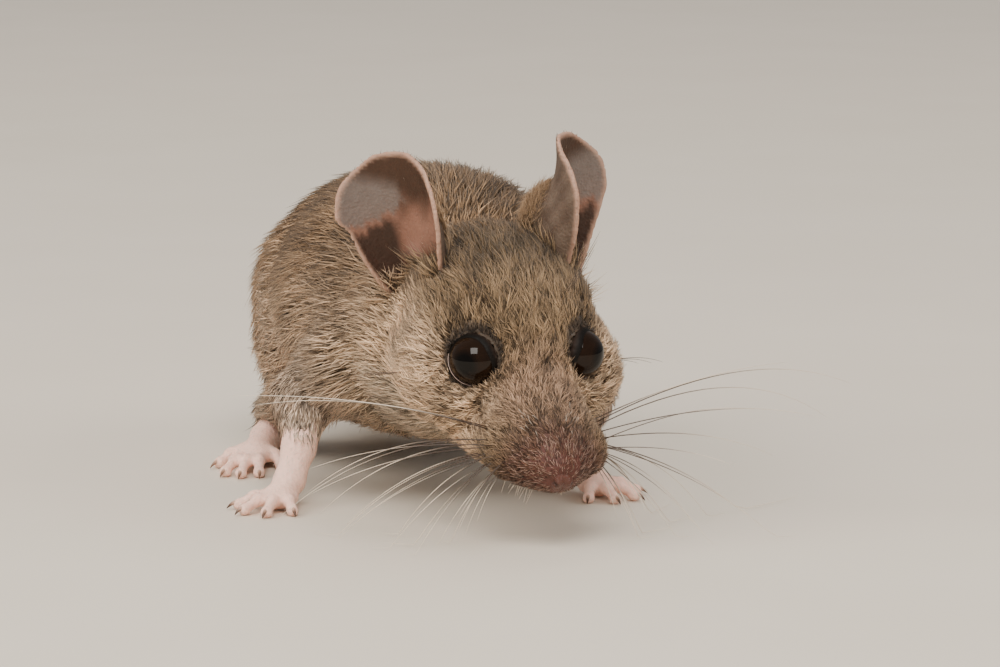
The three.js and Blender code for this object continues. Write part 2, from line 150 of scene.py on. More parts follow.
def falls(x, low, high):
    """From 1 at low and below to 0 at high and above."""
    return 1 - smoothstep(x, low, high)


def lerp(a, b, t):
    return a + (b - a) * t


def hill(x, width):
    return np.exp(-((x / width) ** 2))


def unit(v):
    return v / np.maximum(np.linalg.norm(v, axis=-1, keepdims=True), 1e-9)


def away_from(place, p):
    return np.linalg.norm(p - place, axis=1)


def srgb(*levels):
    """A colour given as 0-255 display levels, as the linear values that Blender shades with."""
    c = np.array(levels, float) / 255
    return np.where(c <= 0.04045, c / 12.92, ((c + 0.055) / 1.055) ** 2.4)


def turn(axis, degrees):
    a = math.radians(degrees)
    c, s = math.cos(a), math.sin(a)
    x = np.array([[1, 0, 0], [0, c, -s], [0, s, c]])
    return x if axis == "x" else np.roll(x, {"y": 1, "z": 2}[axis], axis=(0, 1))


HEAD_TURN = turn("z", HEAD_YAW) @ turn("x", HEAD_PITCH)


def to_head(points):
    return (points - EYE_MID) @ HEAD_TURN


def from_head(points):
    return np.asarray(points, float) @ HEAD_TURN.T + EYE_MID


def node_middle(name):
    low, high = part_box(name)
    return np.array((low + high) / 2) / MM


# In the head's frame.
EYE_MIDS = {name: np.array([ear["side"] * EYE_SPREAD, 0, EYE_LIFT]) for name, ear in EARS.items()}
eyes_between = (node_middle("eye_left") + node_middle("eye_right")) / 2
BODY_PLACE = eyes_between - from_head([0, 0, EYE_LIFT])

# ---- Fields ----


def ellipsoid(centre, radii):
    centre, radii = np.array(centre, float), np.array(radii, float)

    def field(p):
        q = (p - centre) / radii
        near = np.linalg.norm(q, axis=1)
        return near * (near - 1) / np.maximum(np.linalg.norm(q / radii, axis=1), 1e-6)

    return field


def both_sides(centre, radii):
    return [ellipsoid([side * centre[0], *centre[1:]], radii) for side in (1, -1)]


def ball(centre, radius):
    return lambda p: away_from(centre, p) - radius


def bone(start, start_radius, end, end_radius):
    start, run = np.array(start, float), np.array(end, float) - np.array(start, float)
    squared = run @ run

    def field(p):
        t = np.clip((p - start) @ run / squared, 0, 1)
        return away_from(t[:, None] * run, p - start) - lerp(start_radius, end_radius, t)

    return field


def soft_min(a, b, softness):
    overlap = np.maximum(softness - np.abs(a - b), 0)
    return np.minimum(a, b) - overlap * overlap / (4 * softness)


def soft_max(a, b, softness):
    return -soft_min(-a, -b, softness)


def blend(softness, fields):
    def field(p):
        total = fields[0](p)
        for other in fields[1:]:
            total = soft_min(total, other(p), softness)
        return total

    return field


def in_head(field):
    return lambda p: field(to_head(p))


def near(low, high, field, margin=2.5):
    """The field close to a box, and simply far away elsewhere, which saves time."""
    low, high = np.array(low, float) - margin, np.array(high, float) + margin

    def limited(p):
        out = np.full(len(p), FAR)
        close = np.all((p > low) & (p < high), axis=1)
        if close.any():
            out[close] = field(p[close])
        return out

    return limited


def gradient(field, p, step=0.02):
    slopes = [field(p + step * e) - field(p - step * e) for e in np.eye(3)]
    return np.stack(slopes, axis=1) / (2 * step)


def pull_onto(field, p, passes=3, reach=0.15):
    for _ in range(passes):
        slope = gradient(field, p)
        move = -field(p) / np.maximum((slope * slope).sum(1), 0.2)
        p = p + slope * np.clip(move, -reach, reach)[:, None]
    return p


# ---- The coat's outline ----

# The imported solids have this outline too, but for a few tenths of a millimetre beside the bridge.

NOSE_TIP = from_head([0, -EYE_TO_NOSE * 1.03, -2.6])
NOSE_PAD = [0, -10.15, -2.75]  # its middle, in the head's frame
half = HEAD_WIDTH / 2
nose_y = -EYE_TO_NOSE
head_coat = blend(1.6, [
    ellipsoid([0, 6, 0.2], [half * 0.86, 8.2, 5.3]),  # braincase
    bone([0, 0.8, -1.3], 4.2, [0, nose_y * 0.74, -2.7], 2.45),  # face and snout
    bone([0, -1, -4.2], 2.4, [0, nose_y * 0.55, -4.7], 1.3),  # lower jaw
    *both_sides([2.3, -0.6, -4.5], [3.1, 5.1, 2.55]),  # jowls
    ellipsoid([0, nose_y * 0.92, -2.7], [1.6, 1.1, 1.25]),  # end of the nose
    *both_sides([half * 0.54, 3, -2.8], [half * 0.54, 5.6, 4.1]),  # cheeks
    *both_sides([2.2, nose_y * 0.6, -3.0], [2.6, 3.1, 2.1]),  # whisker pads
    *both_sides([3.7, 0.3, 0.3], [1.5, 2.5, 2.4]),  # rims of the eye sockets
    *both_sides([2.4, -3.6, -1.5], [1.2, 2.2, 1.0]),  # beside the bridge
])


def standing(x, y, low, high, half_width, half_length):
    return ellipsoid([x, y, (low + high) / 2], [half_width, half_length, (high - low) / 2])


torso_coat = blend(4.5, [
    standing(0, RUMP_Y - 12, BELLY_HEIGHT, BACK_HEIGHT - 1.2, HIP_WIDTH * 0.45, 12),
    standing(0, 1.5, BELLY_HEIGHT, BACK_HEIGHT, LOIN_WIDTH / 2, 13),
    standing(0, -8.5, CHEST_HEIGHT, BACK_HEIGHT - 4.4, SHOULDER_WIDTH / 2, 9),
    standing(1, -13, CHEST_HEIGHT + 1.6, BACK_HEIGHT - 5.2, 6.8, 7.5),
])


def leg_bones(leg):
    thigh = [leg["side"] * (HIP_WIDTH / 2 - 4.4), leg["knee"][1] + 6.6, 11.4]
    return [
        bone(leg["shoulder"], 3.4, leg["elbow"], 2.1),
        ellipsoid(thigh, [4, 8, 7.4]),
        bone(leg["elbow"], 2.1, leg["wrist"], 1.4),
        bone(leg["knee"], 2.6, leg["heel"] + [0, -1.5, 1.8], 1.8),
    ]


all_leg_bones = [b for leg in legs for b in leg_bones(leg)]
body_coat = blend(2.4, [torso_coat, in_head(head_coat), *all_leg_bones])

# ---- Paws ----


def heading_of(start, end):
    return math.atan2(end[0] - start[0], start[1] - end[1])


def along(start, heading, ahead, aside, height):
    return np.array([
        start[0] + math.sin(heading) * ahead - math.cos(heading) * aside,
        start[1] - math.cos(heading) * ahead - math.sin(heading) * aside,
        height,
    ])


def toe_joints(base, heading, length, radius):
    knuckle = along(base, heading, length * 0.42, 0, radius * 2.1)
    tip = along(base, heading, length - radius, 0, radius * 0.95)
    return base, knuckle, tip, heading


def forepaw_toes(leg):
    side, wrist, toes = leg["side"], leg["wrist"], leg["front_toes"]
    heading = heading_of(wrist, toes)
    palm = lerp(wrist, toes, 0.45)
    joints = []
    for spread, reach in zip((-46, -14, 16, 50), (0.4, 0.5, 0.5, 0.42)):
        way = heading + math.radians(side * spread)
        base = along(palm, way, 0.9, 0, 0.95)
        joints.append(toe_joints(base, way, FOREPAW_LENGTH * reach, FRONT_TOE_RADIUS))
    return joints


def hindfoot_toes(leg):
    side, heel = leg["side"], leg["heel"]
    heading = heading_of(heel, leg["hind_toes"])
    joints = []
    for n, (spread, reach) in enumerate(zip((-30, -12, 0, 12, 34), (0.2, 0.27, 0.3, 0.27, 0.19))):
        start = 0.56 if n in (0, 4) else 0.68
        base = along(heel, heading, HINDFOOT_LENGTH * start, side * (1.1 - n * 0.55), 0.95)
        way = heading + math.radians(side * spread)
        joints.append(toe_joints(base, way, HINDFOOT_LENGTH * reach, HIND_TOE_RADIUS))
    return joints


def toe_fields(joints, radius):
    fields = []
    for base, knuckle, tip, heading in joints:
        fields += [
            bone(base, radius * 1.05, knuckle, radius * 0.95),
            bone(knuckle, radius * 0.95, tip, radius * 0.72),
            ball(tip + [0, 0, -radius * 0.12], radius * 0.86),
        ]
    return fields


def box_round(points, margin):
    points = np.array(points, float)
    return points.min(0) - margin, points.max(0) + margin


def forepaw_skin(leg):
    wrist, toes = leg["wrist"], leg["front_toes"]
    near_palm, palm = lerp(wrist, toes, 0.25), lerp(wrist, toes, 0.55)
    joints = forepaw_toes(leg)
    shape = blend(0.35, [
        bone(wrist, 1.15, [*near_palm[:2], 1.95], 1.15),
        bone([*near_palm[:2], 1.95], 1.15, [*palm[:2], 1.0], 0.95),
        ellipsoid([*palm[:2], 0.9], [1.5, 1.5, 0.8]),
        *toe_fields(joints, FRONT_TOE_RADIUS),
    ])
    return near(*box_round([wrist, *[j[2] for j in joints]], 1.5), shape)


def hindfoot_skin(leg):
    heel = leg["heel"]
    heading = heading_of(heel, leg["hind_toes"])
    joints = hindfoot_toes(leg)
    heights = ((0.02, 1.6), (0.3, 1.35), (0.6, 1.0))  # at shares of the foot's length
    spots = [along(heel, heading, HINDFOOT_LENGTH * share, 0, z) for share, z in heights]
    shape = blend(0.4, [
        bone(spots[0], 1.35, spots[1], 1.2),
        bone(spots[1], 1.2, spots[2], 0.95),
        ellipsoid(spots[2], [1.6, 2.2, 0.85]),
        *toe_fields(joints, HIND_TOE_RADIUS),
    ])
    return near(*box_round([heel, *[j[2] for j in joints]], 1.5), shape)


# ---- Tail ----


def smooth_line(points, count):
    """A curve through the points, as that many points at even steps."""
    points = np.array(points, float)
    ends = np.vstack([2 * points[0] - points[1], points, 2 * points[-1] - points[-2]])
    fine = []
    for a, b, c, d in zip(ends, ends[1:], ends[2:], ends[3:]):
        t = np.linspace(0, 1, 24, endpoint=False)[:, None]
        square, cube = 2 * a - 5 * b + 4 * c - d, 3 * b - a - 3 * c + d
        fine.append(0.5 * (2 * b + (c - a) * t + square * t**2 + cube * t**3))
    fine = np.vstack([*fine, points[-1:]])
    run = np.concatenate([[0], np.cumsum(np.linalg.norm(np.diff(fine, axis=0), axis=1))])
    steps = np.linspace(0, run[-1], count)
    return np.stack([np.interp(steps, run, fine[:, k]) for k in range(3)], axis=1), steps


tail_line, tail_steps = smooth_line([(x, RUMP_Y + y, z) for x, y, z in TAIL_TURNS], 33)
TAIL_LENGTH = tail_steps[-1]


def tail_radius(share):
    return lerp(*TAIL_RADII, share**0.85) * np.sqrt(np.clip((1 - share) / 0.02, 0, 1))


def tail_skin():
    shares = tail_steps / TAIL_LENGTH
    last = len(tail_line) - 1
    pieces = []
    for i in range(last):
        a, b = tail_line[i], tail_line[i + 1]
        radii = tail_radius(shares[i]), tail_radius(min(shares[i + 1], 0.985))
        pieces.append(near(*box_round([a, b], 2.2), bone(a, radii[0], b, radii[1]), margin=0.6))
    return near(*box_round(tail_line, 2), blend(0.12, pieces))


def tail_place(p):
    """How far along the tail a point is in millimetres, and how far from its middle line."""
    best, place = np.full(len(p), 1e9), np.zeros(len(p))
    for i in range(len(tail_line) - 1):
        run = tail_line[i + 1] - tail_line[i]
        t = np.clip((p - tail_line[i]) @ run / (run @ run), 0, 1)
        away = away_from(t[:, None] * run, p - tail_line[i])
        closer = away < best
        best[closer] = away[closer]
        place[closer] = lerp(tail_steps[i], tail_steps[i + 1], t[closer])
    return place, best


# ---- Ears ----

RIM = 0.17  # half the thickness of an ear's rim
EAR_SHEET = 0.16  # and of its middle


def ear_frame(ear):
    side = ear["side"]
    tilted = turn("y", side * ear["splay"]) @ turn("x", -ear["lean"])
    turned = tilted @ turn("z", side * ear["opening"])
    return HEAD_TURN @ turned, from_head(ear["foot"])


def ear_place(ear, p):
    """Where a point lies on an ear: share of its height, millimetres round its scoop (outer edge
    positive), height over its middle sheet (outside positive), and distance inside its outline (0
    at the rim, negative inside)."""
    rotation, foot = ear_frame(ear)
    x, y, z = ((p - foot) @ rotation).T
    h = z / EAR_LENGTH
    roll = lerp(3, ear["roll"], smoothstep(h, 0.1, 0.8))
    bend = lerp(3.2, 0, smoothstep(h, 0, 0.9))
    y = y - bend + roll
    angle = np.arctan2(x, y)
    round_it = angle * roll * ear["side"]
    t = 2 * h - 1
    notch = 1 - ear["waist"] * 0.4 * smoothstep(round_it, 0, 2) * falls(h, 0.53, 0.63)
    across = round_it / (EAR_WIDTH / 2 * notch)
    top = np.hypot(across, t) - 1
    sides = np.abs(across) - (1 - ear["waist"] * t * t)
    wobble = 0.004 * np.sin(h * 23 + round_it) + 0.008 * np.sin(round_it * 2.1 + 1)
    inset = (np.where(t > 0, top, sides) + wobble) * 5.5
    return h, round_it, np.hypot(x, y) - roll, inset


def ear_skin(ear):
    """An ear's sheet, thicker at the rim and the foot, with the swelling behind it."""
    middle, radii = ear["swelling"]
    swelling = in_head(ellipsoid(middle, radii))

    def field(p):
        h, round_it, over, inset = ear_place(ear, p)
        thick = lerp(EAR_SHEET, RIM, smoothstep(inset, -0.9, -0.3))
        thick = lerp(0.55, thick, smoothstep(h, 0.05, 0.35))
        veins = 0.02 * np.sin(round_it * 2.2 + 2 * np.sin(h * 7)) * smoothstep(-inset, 0.6, 1.6)
        sheet = np.hypot(np.maximum(inset + thick, 0), np.abs(over)) - thick - veins
        return soft_min(sheet, swelling(p), 1.8)

    rotation, foot = ear_frame(ear)
    box = [(x, y, z) for x in (-6, 6) for y in (-6, 6) for z in (0, 13)]
    corners = [foot + rotation @ np.array(corner) for corner in box]
    return near(*box_round(corners, 0), field, margin=0.5)


# ---- Eyes and lids ----

EYE_AXIS = unit(np.array([0.69, -0.64, 0.34]))  # where the left eye looks, in the head's frame
LID_OPENING = 75  # degrees from that axis to the lid's edge
LID_RADIUS = 1.94


def eye_axes(side):
    """The way an eye looks, and the ways towards the nose and up across it, in the head's frame."""
    ahead = EYE_AXIS * [side, 1, 1]
    to_nose = unit(np.array([0, -1, -0.25]) - ahead * (np.array([0, -1, -0.25]) @ ahead))
    up = unit(np.cross(ahead, to_nose))
    return ahead, to_nose, up * np.sign(up[2])


def lid_edge(around):
    """The opening's half angle in degrees, round the eye: 0 towards the nose, 90 up."""

    def turned_by(degrees):
        return (around + degrees + 180) % 360 - 180

    corner, back, nasal = hill(turned_by(25), 15), hill(turned_by(-185), 22), hill(turned_by(0), 45)
    top, low = hill(around - 80, 40), hill(around - 265, 40)
    return LID_OPENING + 5 * corner + 9 * nasal + 4 * back - 10 * top - 4 * low


def eye_point(name, around, off_axis, radius):
    """Points round an eye's axis and off it, in degrees, at a distance from the eye's centre."""
    ahead, to_nose, up = eye_axes(EARS[name]["side"])
    around, off_axis = np.radians(around)[..., None], np.radians(off_axis)[..., None]
    sideways = np.cos(around) * to_nose + np.sin(around) * up
    way = np.cos(off_axis) * ahead + np.sin(off_axis) * sideways
    return from_head(EYE_MIDS[name] + way * np.asarray(radius)[..., None])


def with_orbits(field):
    """Adds a lid's bulge round each eyeball, and opens it over the eye."""
    sites = []
    for name, ear in EARS.items():
        ahead = eye_axes(ear["side"])[0]
        opening = math.radians(LID_OPENING + 8)
        ring = np.array([LID_RADIUS * math.cos(opening), LID_RADIUS * math.sin(opening)])
        out = 2.5  # how far along the eye's axis the ball that cuts the opening is centred
        middles = from_head(EYE_MIDS[name]), from_head(EYE_MIDS[name] + ahead * out)
        sites.append((*middles, math.hypot(out - ring[0], ring[1])))

    def opened(p):
        value = field(p)
        for centre, opening_centre, opening_radius in sites:
            away = away_from(centre, p)
            close = away < 4.5
            if close.any():
                q, v, r = p[close], value[close], away[close]
                v = soft_min(v, r - LID_RADIUS, 0.5)
                cut = away_from(opening_centre, q) - opening_radius
                value[close] = soft_max(v, -np.minimum(r - EYE_RADIUS - 0.03, cut), 0.1)
        return value

    return opened


# ---- The skin ----


def nose_distance(p):
    return away_from(NOSE_TIP, p)


def coat_depth(p):
    """How far the skin lies under the coat's outline: least on the nose, the paws and the tail."""
    depth = np.interp(
        nose_distance(p), [0, 0.9, 2, 6, 12, 18, 26], [0.3, 0.2, 0.26, 0.5, 0.85, 1.2, COAT_DEPTH]
    )
    for leg in legs:
        for joint, reach in (("wrist", 9), ("front_toes", 9), ("heel", 11)):
            away = away_from(leg[joint], p)
            at_joint = np.interp(away, [0, 2, 5, reach], [0.1, 0.25, 0.7, COAT_DEPTH])
            depth = np.minimum(depth, at_joint)
    away = away_from(tail_line[1], p)
    return np.minimum(depth, np.interp(away, [0, 2, 8], [0.25, 0.6, COAT_DEPTH]))


inset_body = with_orbits(lambda p: body_coat(p) + coat_depth(p))
limbs = [f(leg) for leg in legs for f in (forepaw_skin, hindfoot_skin)]
ear_fields = [ear_skin(ear) for ear in EARS.values()]
tail_field = tail_skin()


def skin(p):
    value = inset_body(p)
    for limb in limbs:
        value = soft_min(value, limb(p), 0.7)
    for ear in ear_fields:
        value = soft_min(value, ear(p), 0.9)
    value = soft_min(value, tail_field(p), 0.8)
    return soft_max(value, FLOOR_GAP - p[:, 2], 0.05)


def surface(field, low, high, cell, band=2.3, coarse=4):
    """A triangle mesh of a field's surface, worked out finely only near that surface."""
    low = np.array(low, float)
    blocks = np.ceil((np.array(high, float) - low) / (cell * coarse)).astype(int)
    wide = cell * coarse
    middle = (np.indices(blocks).reshape(3, -1).T + 0.5) * wide + low
    rough = field(middle)
    values = np.repeat(np.repeat(np.repeat(rough.reshape(blocks), coarse, 0), coarse, 1), coarse, 2)
    busy = np.argwhere((np.abs(rough) < band).reshape(blocks))
    inner = np.indices((coarse,) * 3).reshape(3, -1).T
    for start in range(0, len(busy), 4000):
        spots = (busy[start:start + 4000, None] * coarse + inner).reshape(-1, 3)
        values[tuple(spots.T)] = field(spots * cell + low)
    grid = openvdb.FloatGrid(3.0)
    grid.copyFromArray(np.clip(values, -3, 3).astype(np.float32))
    points, quads = grid.convertToQuads(0.0)
    points = points.astype(float) * cell + low
    triangles = np.vstack([quads[:, [0, 1, 2]], quads[:, [0, 2, 3]]]).astype(np.int64)
    return points, facing_out(points, triangles)


# ---- Meshes ----


def mesh_object(name, points, triangles, material, slot, colours=None, values=None, uv=None):
    """A smooth triangle mesh from points in the body's frame, with colours and numbers at them."""
    triangles = np.ascontiguousarray(triangles, np.int32)
    mesh = bpy.data.meshes.new(name)
    mesh.vertices.add(len(points))
    mesh.vertices.foreach_set("co", ((points + BODY_PLACE) * MM).astype(np.float32).ravel())
    mesh.loops.add(triangles.size)
    mesh.loops.foreach_set("vertex_index", triangles.ravel())
    mesh.polygons.add(len(triangles))
    mesh.polygons.foreach_set("loop_start", np.arange(0, triangles.size, 3, dtype=np.int32))
    mesh.update(calc_edges=True)
    mesh.shade_smooth()
    if colours is not None:
        layer = mesh.color_attributes.new("tint", "FLOAT_COLOR", "POINT")
        opaque = np.c_[colours, np.ones(len(points))]
        layer.data.foreach_set("color", opaque.astype(np.float32).ravel())
    for key, numbers in (values or {}).items():
        layer = mesh.attributes.new(key, "FLOAT", "POINT")
        layer.data.foreach_set("value", numbers.astype(np.float32))
    if uv is not None:
        corners = uv[triangles.ravel()].astype(np.float32).ravel()
        mesh.uv_layers.new(name="OFBake").uv.foreach_set("vector", corners)
    mesh.materials.append(material)
    piece = bpy.data.objects.new(name, mesh)
    bpy.context.scene.collection.objects.link(piece)
    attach(piece, "root")
    return piece


def facing_out(points, triangles):
    a, b, c = (points[triangles[:, k]] for k in range(3))
    return triangles if (np.cross(a, b) * c).sum() > 0 else triangles[:, ::-1]


def rolled(grid, ring=False):
    """Points and triangles of rows of points that close round their columns. A ring closes round
    its rows too, and otherwise a point at each end closes it."""
    rows, columns = grid.shape[:2]
    points = grid.reshape(-1, 3)
    r, c = np.meshgrid(np.arange(rows if ring else rows - 1), np.arange(columns), indexing="ij")
    after, beside = (r + 1) % rows, (c + 1) % columns
    a, b = (r * columns + c).ravel(), (r * columns + beside).ravel()
    d, e = (after * columns + c).ravel(), (after * columns + beside).ravel()
    triangles = np.vstack([np.c_[a, b, e], np.c_[a, e, d]])
    if not ring:
        n, c = len(points), np.arange(columns)
        beside, last = (c + 1) % columns, (rows - 1) * columns
        points = np.vstack([points, grid[0].mean(0), grid[-1].mean(0)])
        first_cap = np.c_[beside, c, np.full(columns, n)]
        last_cap = np.c_[last + c, last + beside, np.full(columns, n + 1)]
        triangles = np.vstack([triangles, first_cap, last_cap])
    middle = points.mean(0)
    return points, facing_out(points - middle, triangles)


def tube(line, radii, sides=6):
    """A round tube along a line."""
    ahead = unit(np.gradient(line, axis=0))
    aside = unit(np.cross(ahead, [0.13, 0.21, 1]))
    over = np.cross(ahead, aside)
    angle = np.linspace(0, 2 * math.pi, sides, endpoint=False)
    cos, sin = np.cos(angle)[None, :, None], np.sin(angle)[None, :, None]
    spokes = cos * aside[:, None] + sin * over[:, None]
    return rolled(line[:, None] + spokes * np.asarray(radii)[:, None, None])


def joined(parts):
    points, triangles, before = [], [], 0
    for p, t in parts:
        points.append(p)
        triangles.append(t + before)
        before += len(p)
    return np.vstack(points), np.vstack(triangles)


# ---- Markings, with painted light and shade, the same for skin and coat ----

CROWN = srgb(150, 124, 94)
BRIDGE = srgb(186, 152, 124)
CHEEK = srgb(246, 210, 172)
MUZZLE = srgb(118, 84, 66)
FLANK = srgb(228, 194, 160)
BACK = srgb(164, 132, 100)
BELLY = srgb(222, 198, 170)
ARM = srgb(236, 210, 186)
EYE_SURROUND = srgb(86, 72, 60)
UNDERCOAT = srgb(62, 52, 46)
PINK = srgb(250, 206, 188)
MAUVE = srgb(86, 50, 42)
TAIL_TOP, TAIL_UNDER = srgb(104, 84, 72), srgb(200, 168, 152)
WRIST_BARE, PAW_TOP = 2.5, 5.4  # a front leg is bare this near the wrist and below this height


def toward(colour, other, amount):
    return colour + (other - colour) * amount[:, None]


def painted(colour, *layers):
    """A colour with others laid over it in turn, each as (colour, how much of it covers)."""
    for other, amount in layers:
        colour = toward(colour, other, amount)
    return colour


def eye_distance(p):
    q = to_head(p)
    return np.min([away_from(mid, q) for mid in EYE_MIDS.values()], axis=0)


def coat_markings_and_painted_shade(p):
    """The colour of the coat's tips: dark buff crown, made darker between the ears by painted shade,
    pale cheeks, taupe flanks, pale below.
    """
    q = to_head(p)
    head = falls(q[:, 1], 6, 13)
    # painted shade: the crown's colour is made darker towards the back and top of the head, between
    # the ears
    crown = CROWN * (1.12 - 0.4 * smoothstep(q[:, 1], 2, 6) * smoothstep(q[:, 2], 2, 4))[:, None]
    side = smoothstep(-q[:, 2] + 0.25 * np.abs(q[:, 0]), -0.5, 2.4) * smoothstep(q[:, 1], -7, -3)
    colour = painted(
        BACK,
        (FLANK, falls(p[:, 2], 12, 20)),
        (BELLY, falls(p[:, 2], 3.5, 6)),
        (crown, head),
        (CHEEK, head * side),
        (BRIDGE, falls(np.abs(q[:, 0]), 1.5, 4.2) * falls(q[:, 1], -4, 0)),
        (MUZZLE, falls(nose_distance(p), 2.6, 5.8)),
        (BELLY, head * smoothstep(-q[:, 2], 5.2, 7)),
    )
    for leg in legs:
        wrist, heel = away_from([0, 0, 1.5], p - leg["wrist"]), away_from(leg["heel"], p)
        colour = painted(colour, (ARM, falls(wrist, 3.5, 7.5)), (ARM, falls(heel, 3, 6)))
    over = 0.15 * smoothstep(q[:, 2] - EYE_LIFT, 0.9, 1.9)
    return toward(colour, EYE_SURROUND, falls(eye_distance(p) - over, 1.95, 2.3))


def ear_colours(ear, p):
    """A bare inner side, pink at the foot and brown above with a greyish area of painted light on its
    outer half; painted shade darkens its top, its outer edge below that area and a fold low down;
    a pale rim that is partly painted highlight; and a dusky outer side."""
    h, round_it, over, inset = ear_place(ear, p)
    mottle = np.sin(p @ [2.1, 1.3, 1.9]) * np.sin(p @ [-1.1, 2.4, 1.0] + 2)
    ragged = 0.02 * np.sin(round_it * 4.1 + 1) + 0.012 * np.sin(round_it * 9.7) + 0.02 * mottle
    edge = 0.66 - 0.03 * round_it + ragged
    painted_light_patch = smoothstep(round_it + 0.7 * mottle, -0.9, 0.7) * smoothstep(h, edge, edge + 0.05)
    painted_light_patch *= falls(h - 0.02 * round_it, 0.72, 0.86)
    shade = smoothstep(round_it + 0.4 * mottle, 0.7, 1.9) * falls(h, edge - 0.05, edge + 0.01)
    fold_shade = hill(round_it + 1.7, 0.4) * falls(h, 0.36, 0.52)
    inner = painted(
        srgb(134, 96, 80),
        # painted shade: darker brown towards the top of the hollow, under the rim's overhang
        (srgb(60, 39, 26), smoothstep(h + 0.04 * mottle, 0.56, 0.78)),
        # painted light: a greyish lit area on the outer half, above a ragged edge
        (srgb(114, 102, 96), painted_light_patch * 0.9),
        # painted shade: dark brown on the outer edge below that lit area
        (srgb(44, 28, 19), shade * 0.92),
        # painted shade: a darker line along a fold low in the hollow
        (srgb(92, 58, 46), 0.7 * fold_shade),
        (srgb(206, 160, 154), falls(h, 0.24, 0.5) * falls(np.abs(round_it + 0.2), 0.5, 1.5)),
    )
    outer = toward(srgb(82, 66, 56), srgb(104, 88, 76), 0.5 + 0.5 * mottle)
    # the rim's pale colour is partly its own and partly painted highlight where light catches it
    rim = smoothstep(inset, -0.42, -0.02) * falls(np.abs(over), 0.25, 0.5)
    return painted(inner, (outer, smoothstep(over, -0.06, 0.06)), (srgb(178, 142, 122), rim))


def skin_colours(p):
    """The skin's colours, with painted light and shade on the ears: dark under the coat, and bare on
    the nose, tail, paws and ears.
    """
    place, away = tail_place(p)
    share = place / TAIL_LENGTH
    on_tail = falls(away - tail_radius(np.clip(share, 0, 1)), 0.1, 0.8) * smoothstep(place, 1, 4)
    last = len(tail_line) - 1
    line_height = tail_line[np.clip((share * last).astype(int), 0, last), 2]
    tail = toward(TAIL_TOP, TAIL_UNDER, smoothstep(line_height - p[:, 2], -0.2, 0.5))
    low = falls(p[:, 2], PAW_TOP, PAW_TOP + 0.8)
    wrist = limb_reach(p)[1]
    return painted(
        coat_markings_and_painted_shade(p),
        (UNDERCOAT, np.full(len(p), 0.75)),
        (MAUVE, falls(nose_distance(p), 2.5, 6)),
        (EYE_SURROUND * 0.6, falls(eye_distance(p), 2.1, 2.6)),
        (tail, on_tail),
        *[(PINK, falls(limb(p), 0.1, 1.0) * low) for limb in limbs],
        (PINK, falls(wrist, WRIST_BARE, WRIST_BARE + 0.8) * low),
        *[
            (ear_colours(ear, p), falls(field(p), 0.05, 0.5))
            for ear, field in zip(EARS.values(), ear_fields)
        ],
    )


# ---- Materials ----


class Shader:
    """A material's nodes, made and joined in short calls."""

    def __init__(self, name, **sockets):
        self.material = bpy.data.materials.new(name)
        self.material.use_nodes = True
        self.tree = self.material.node_tree
        self.surface = self.tree.nodes["Principled BSDF"]
        for key, value in sockets.items():
            self.surface.inputs[key.replace("_", " ")].default_value = value

    def node(self, kind, inputs=None, **settings):
        made = self.tree.nodes.new("ShaderNode" + kind)
        for key, value in settings.items():
            setattr(made, key, value)
        for key, value in (inputs or {}).items():
            self.feed(made.inputs[key], value)
        return made

    def feed(self, socket, value):
        if isinstance(value, bpy.types.NodeSocket):
            self.tree.links.new(value, socket)
        else:
            socket.default_value = value

    def set(self, key, value):
        self.feed(self.surface.inputs[key], value)

    def tint(self, key="tint"):
        return self.node("Attribute", attribute_name=key).outputs["Color"]

    def number(self, key):
        return self.node("Attribute", attribute_name=key).outputs["Fac"]

    def noise(self, scale, detail=3.0, roughness=0.6):
        place = self.node("TexCoord").outputs["Object"]
        inputs = {"Vector": place, "Scale": scale, "Detail": detail, "Roughness": roughness}
        return self.node("TexNoise", inputs).outputs["Fac"]

    def cells(self, scale):
        place = self.node("TexCoord").outputs["Object"]
        return self.node("TexVoronoi", {"Vector": place, "Scale": scale}).outputs["Distance"]

    def spread(self, value, low, high):
        inputs = {"Value": value, "To Min": low, "To Max": high}
        return self.node("MapRange", inputs).outputs["Result"]

    def maths(self, operation, a, b):
        made = self.node("Math", operation=operation)
        self.feed(made.inputs[0], a)
        self.feed(made.inputs[1], b)
        return made.outputs[0]

    def shaded(self, colour, amount):
        """A colour made darker or lighter by a number round 1."""
        inputs = {0: colour, "Scale": amount}
        return self.node("VectorMath", inputs, operation="SCALE").outputs["Vector"]

    def mixed(self, amount, a, b):
        made = self.node("Mix", data_type="RGBA")
        self.feed(made.inputs[0], amount)
        self.feed(made.inputs[6], a)
        self.feed(made.inputs[7], b)
        return made.outputs[2]

    def bump(self, height, distance):
        inputs = {"Height": height, "Distance": distance, "Strength": 1.0}
        self.set("Normal", self.node("Bump", inputs).outputs["Normal"])

    def mottle(self, scale, low, high, detail=3.0):
        """Colours the surface with its tint, made unevenly darker and lighter."""
        shade = self.spread(self.noise(scale, detail), low, high)
        self.set("Base Color", self.shaded(self.tint(), shade))


def rgba(*levels):
    return (*srgb(*levels), 1)


def skin_material():
    look = {"Specular_IOR_Level": 0.35, "Subsurface_Weight": 0.12, "Subsurface_Scale": 0.0006}
    s = Shader("skin", Roughness=0.55, **look)
    s.surface.inputs["Subsurface Radius"].default_value = (1, 0.45, 0.3)
    s.mottle(1900, 0.8, 1.2, 5)
    rings = s.maths("SINE", s.maths("MULTIPLY", s.number("tail_place"), 2 * math.pi / TAIL_RING), 0)
    rings = s.maths("MULTIPLY", rings, s.number("tail_weight"))
    pores = s.maths("MULTIPLY", s.cells(4500), 0.5)
    s.bump(s.maths("ADD", s.maths("ADD", rings, pores), s.noise(1600, 4)), 0.00007)
    s.set("Roughness", s.spread(s.noise(900), 0.48, 0.66))
    return s.material


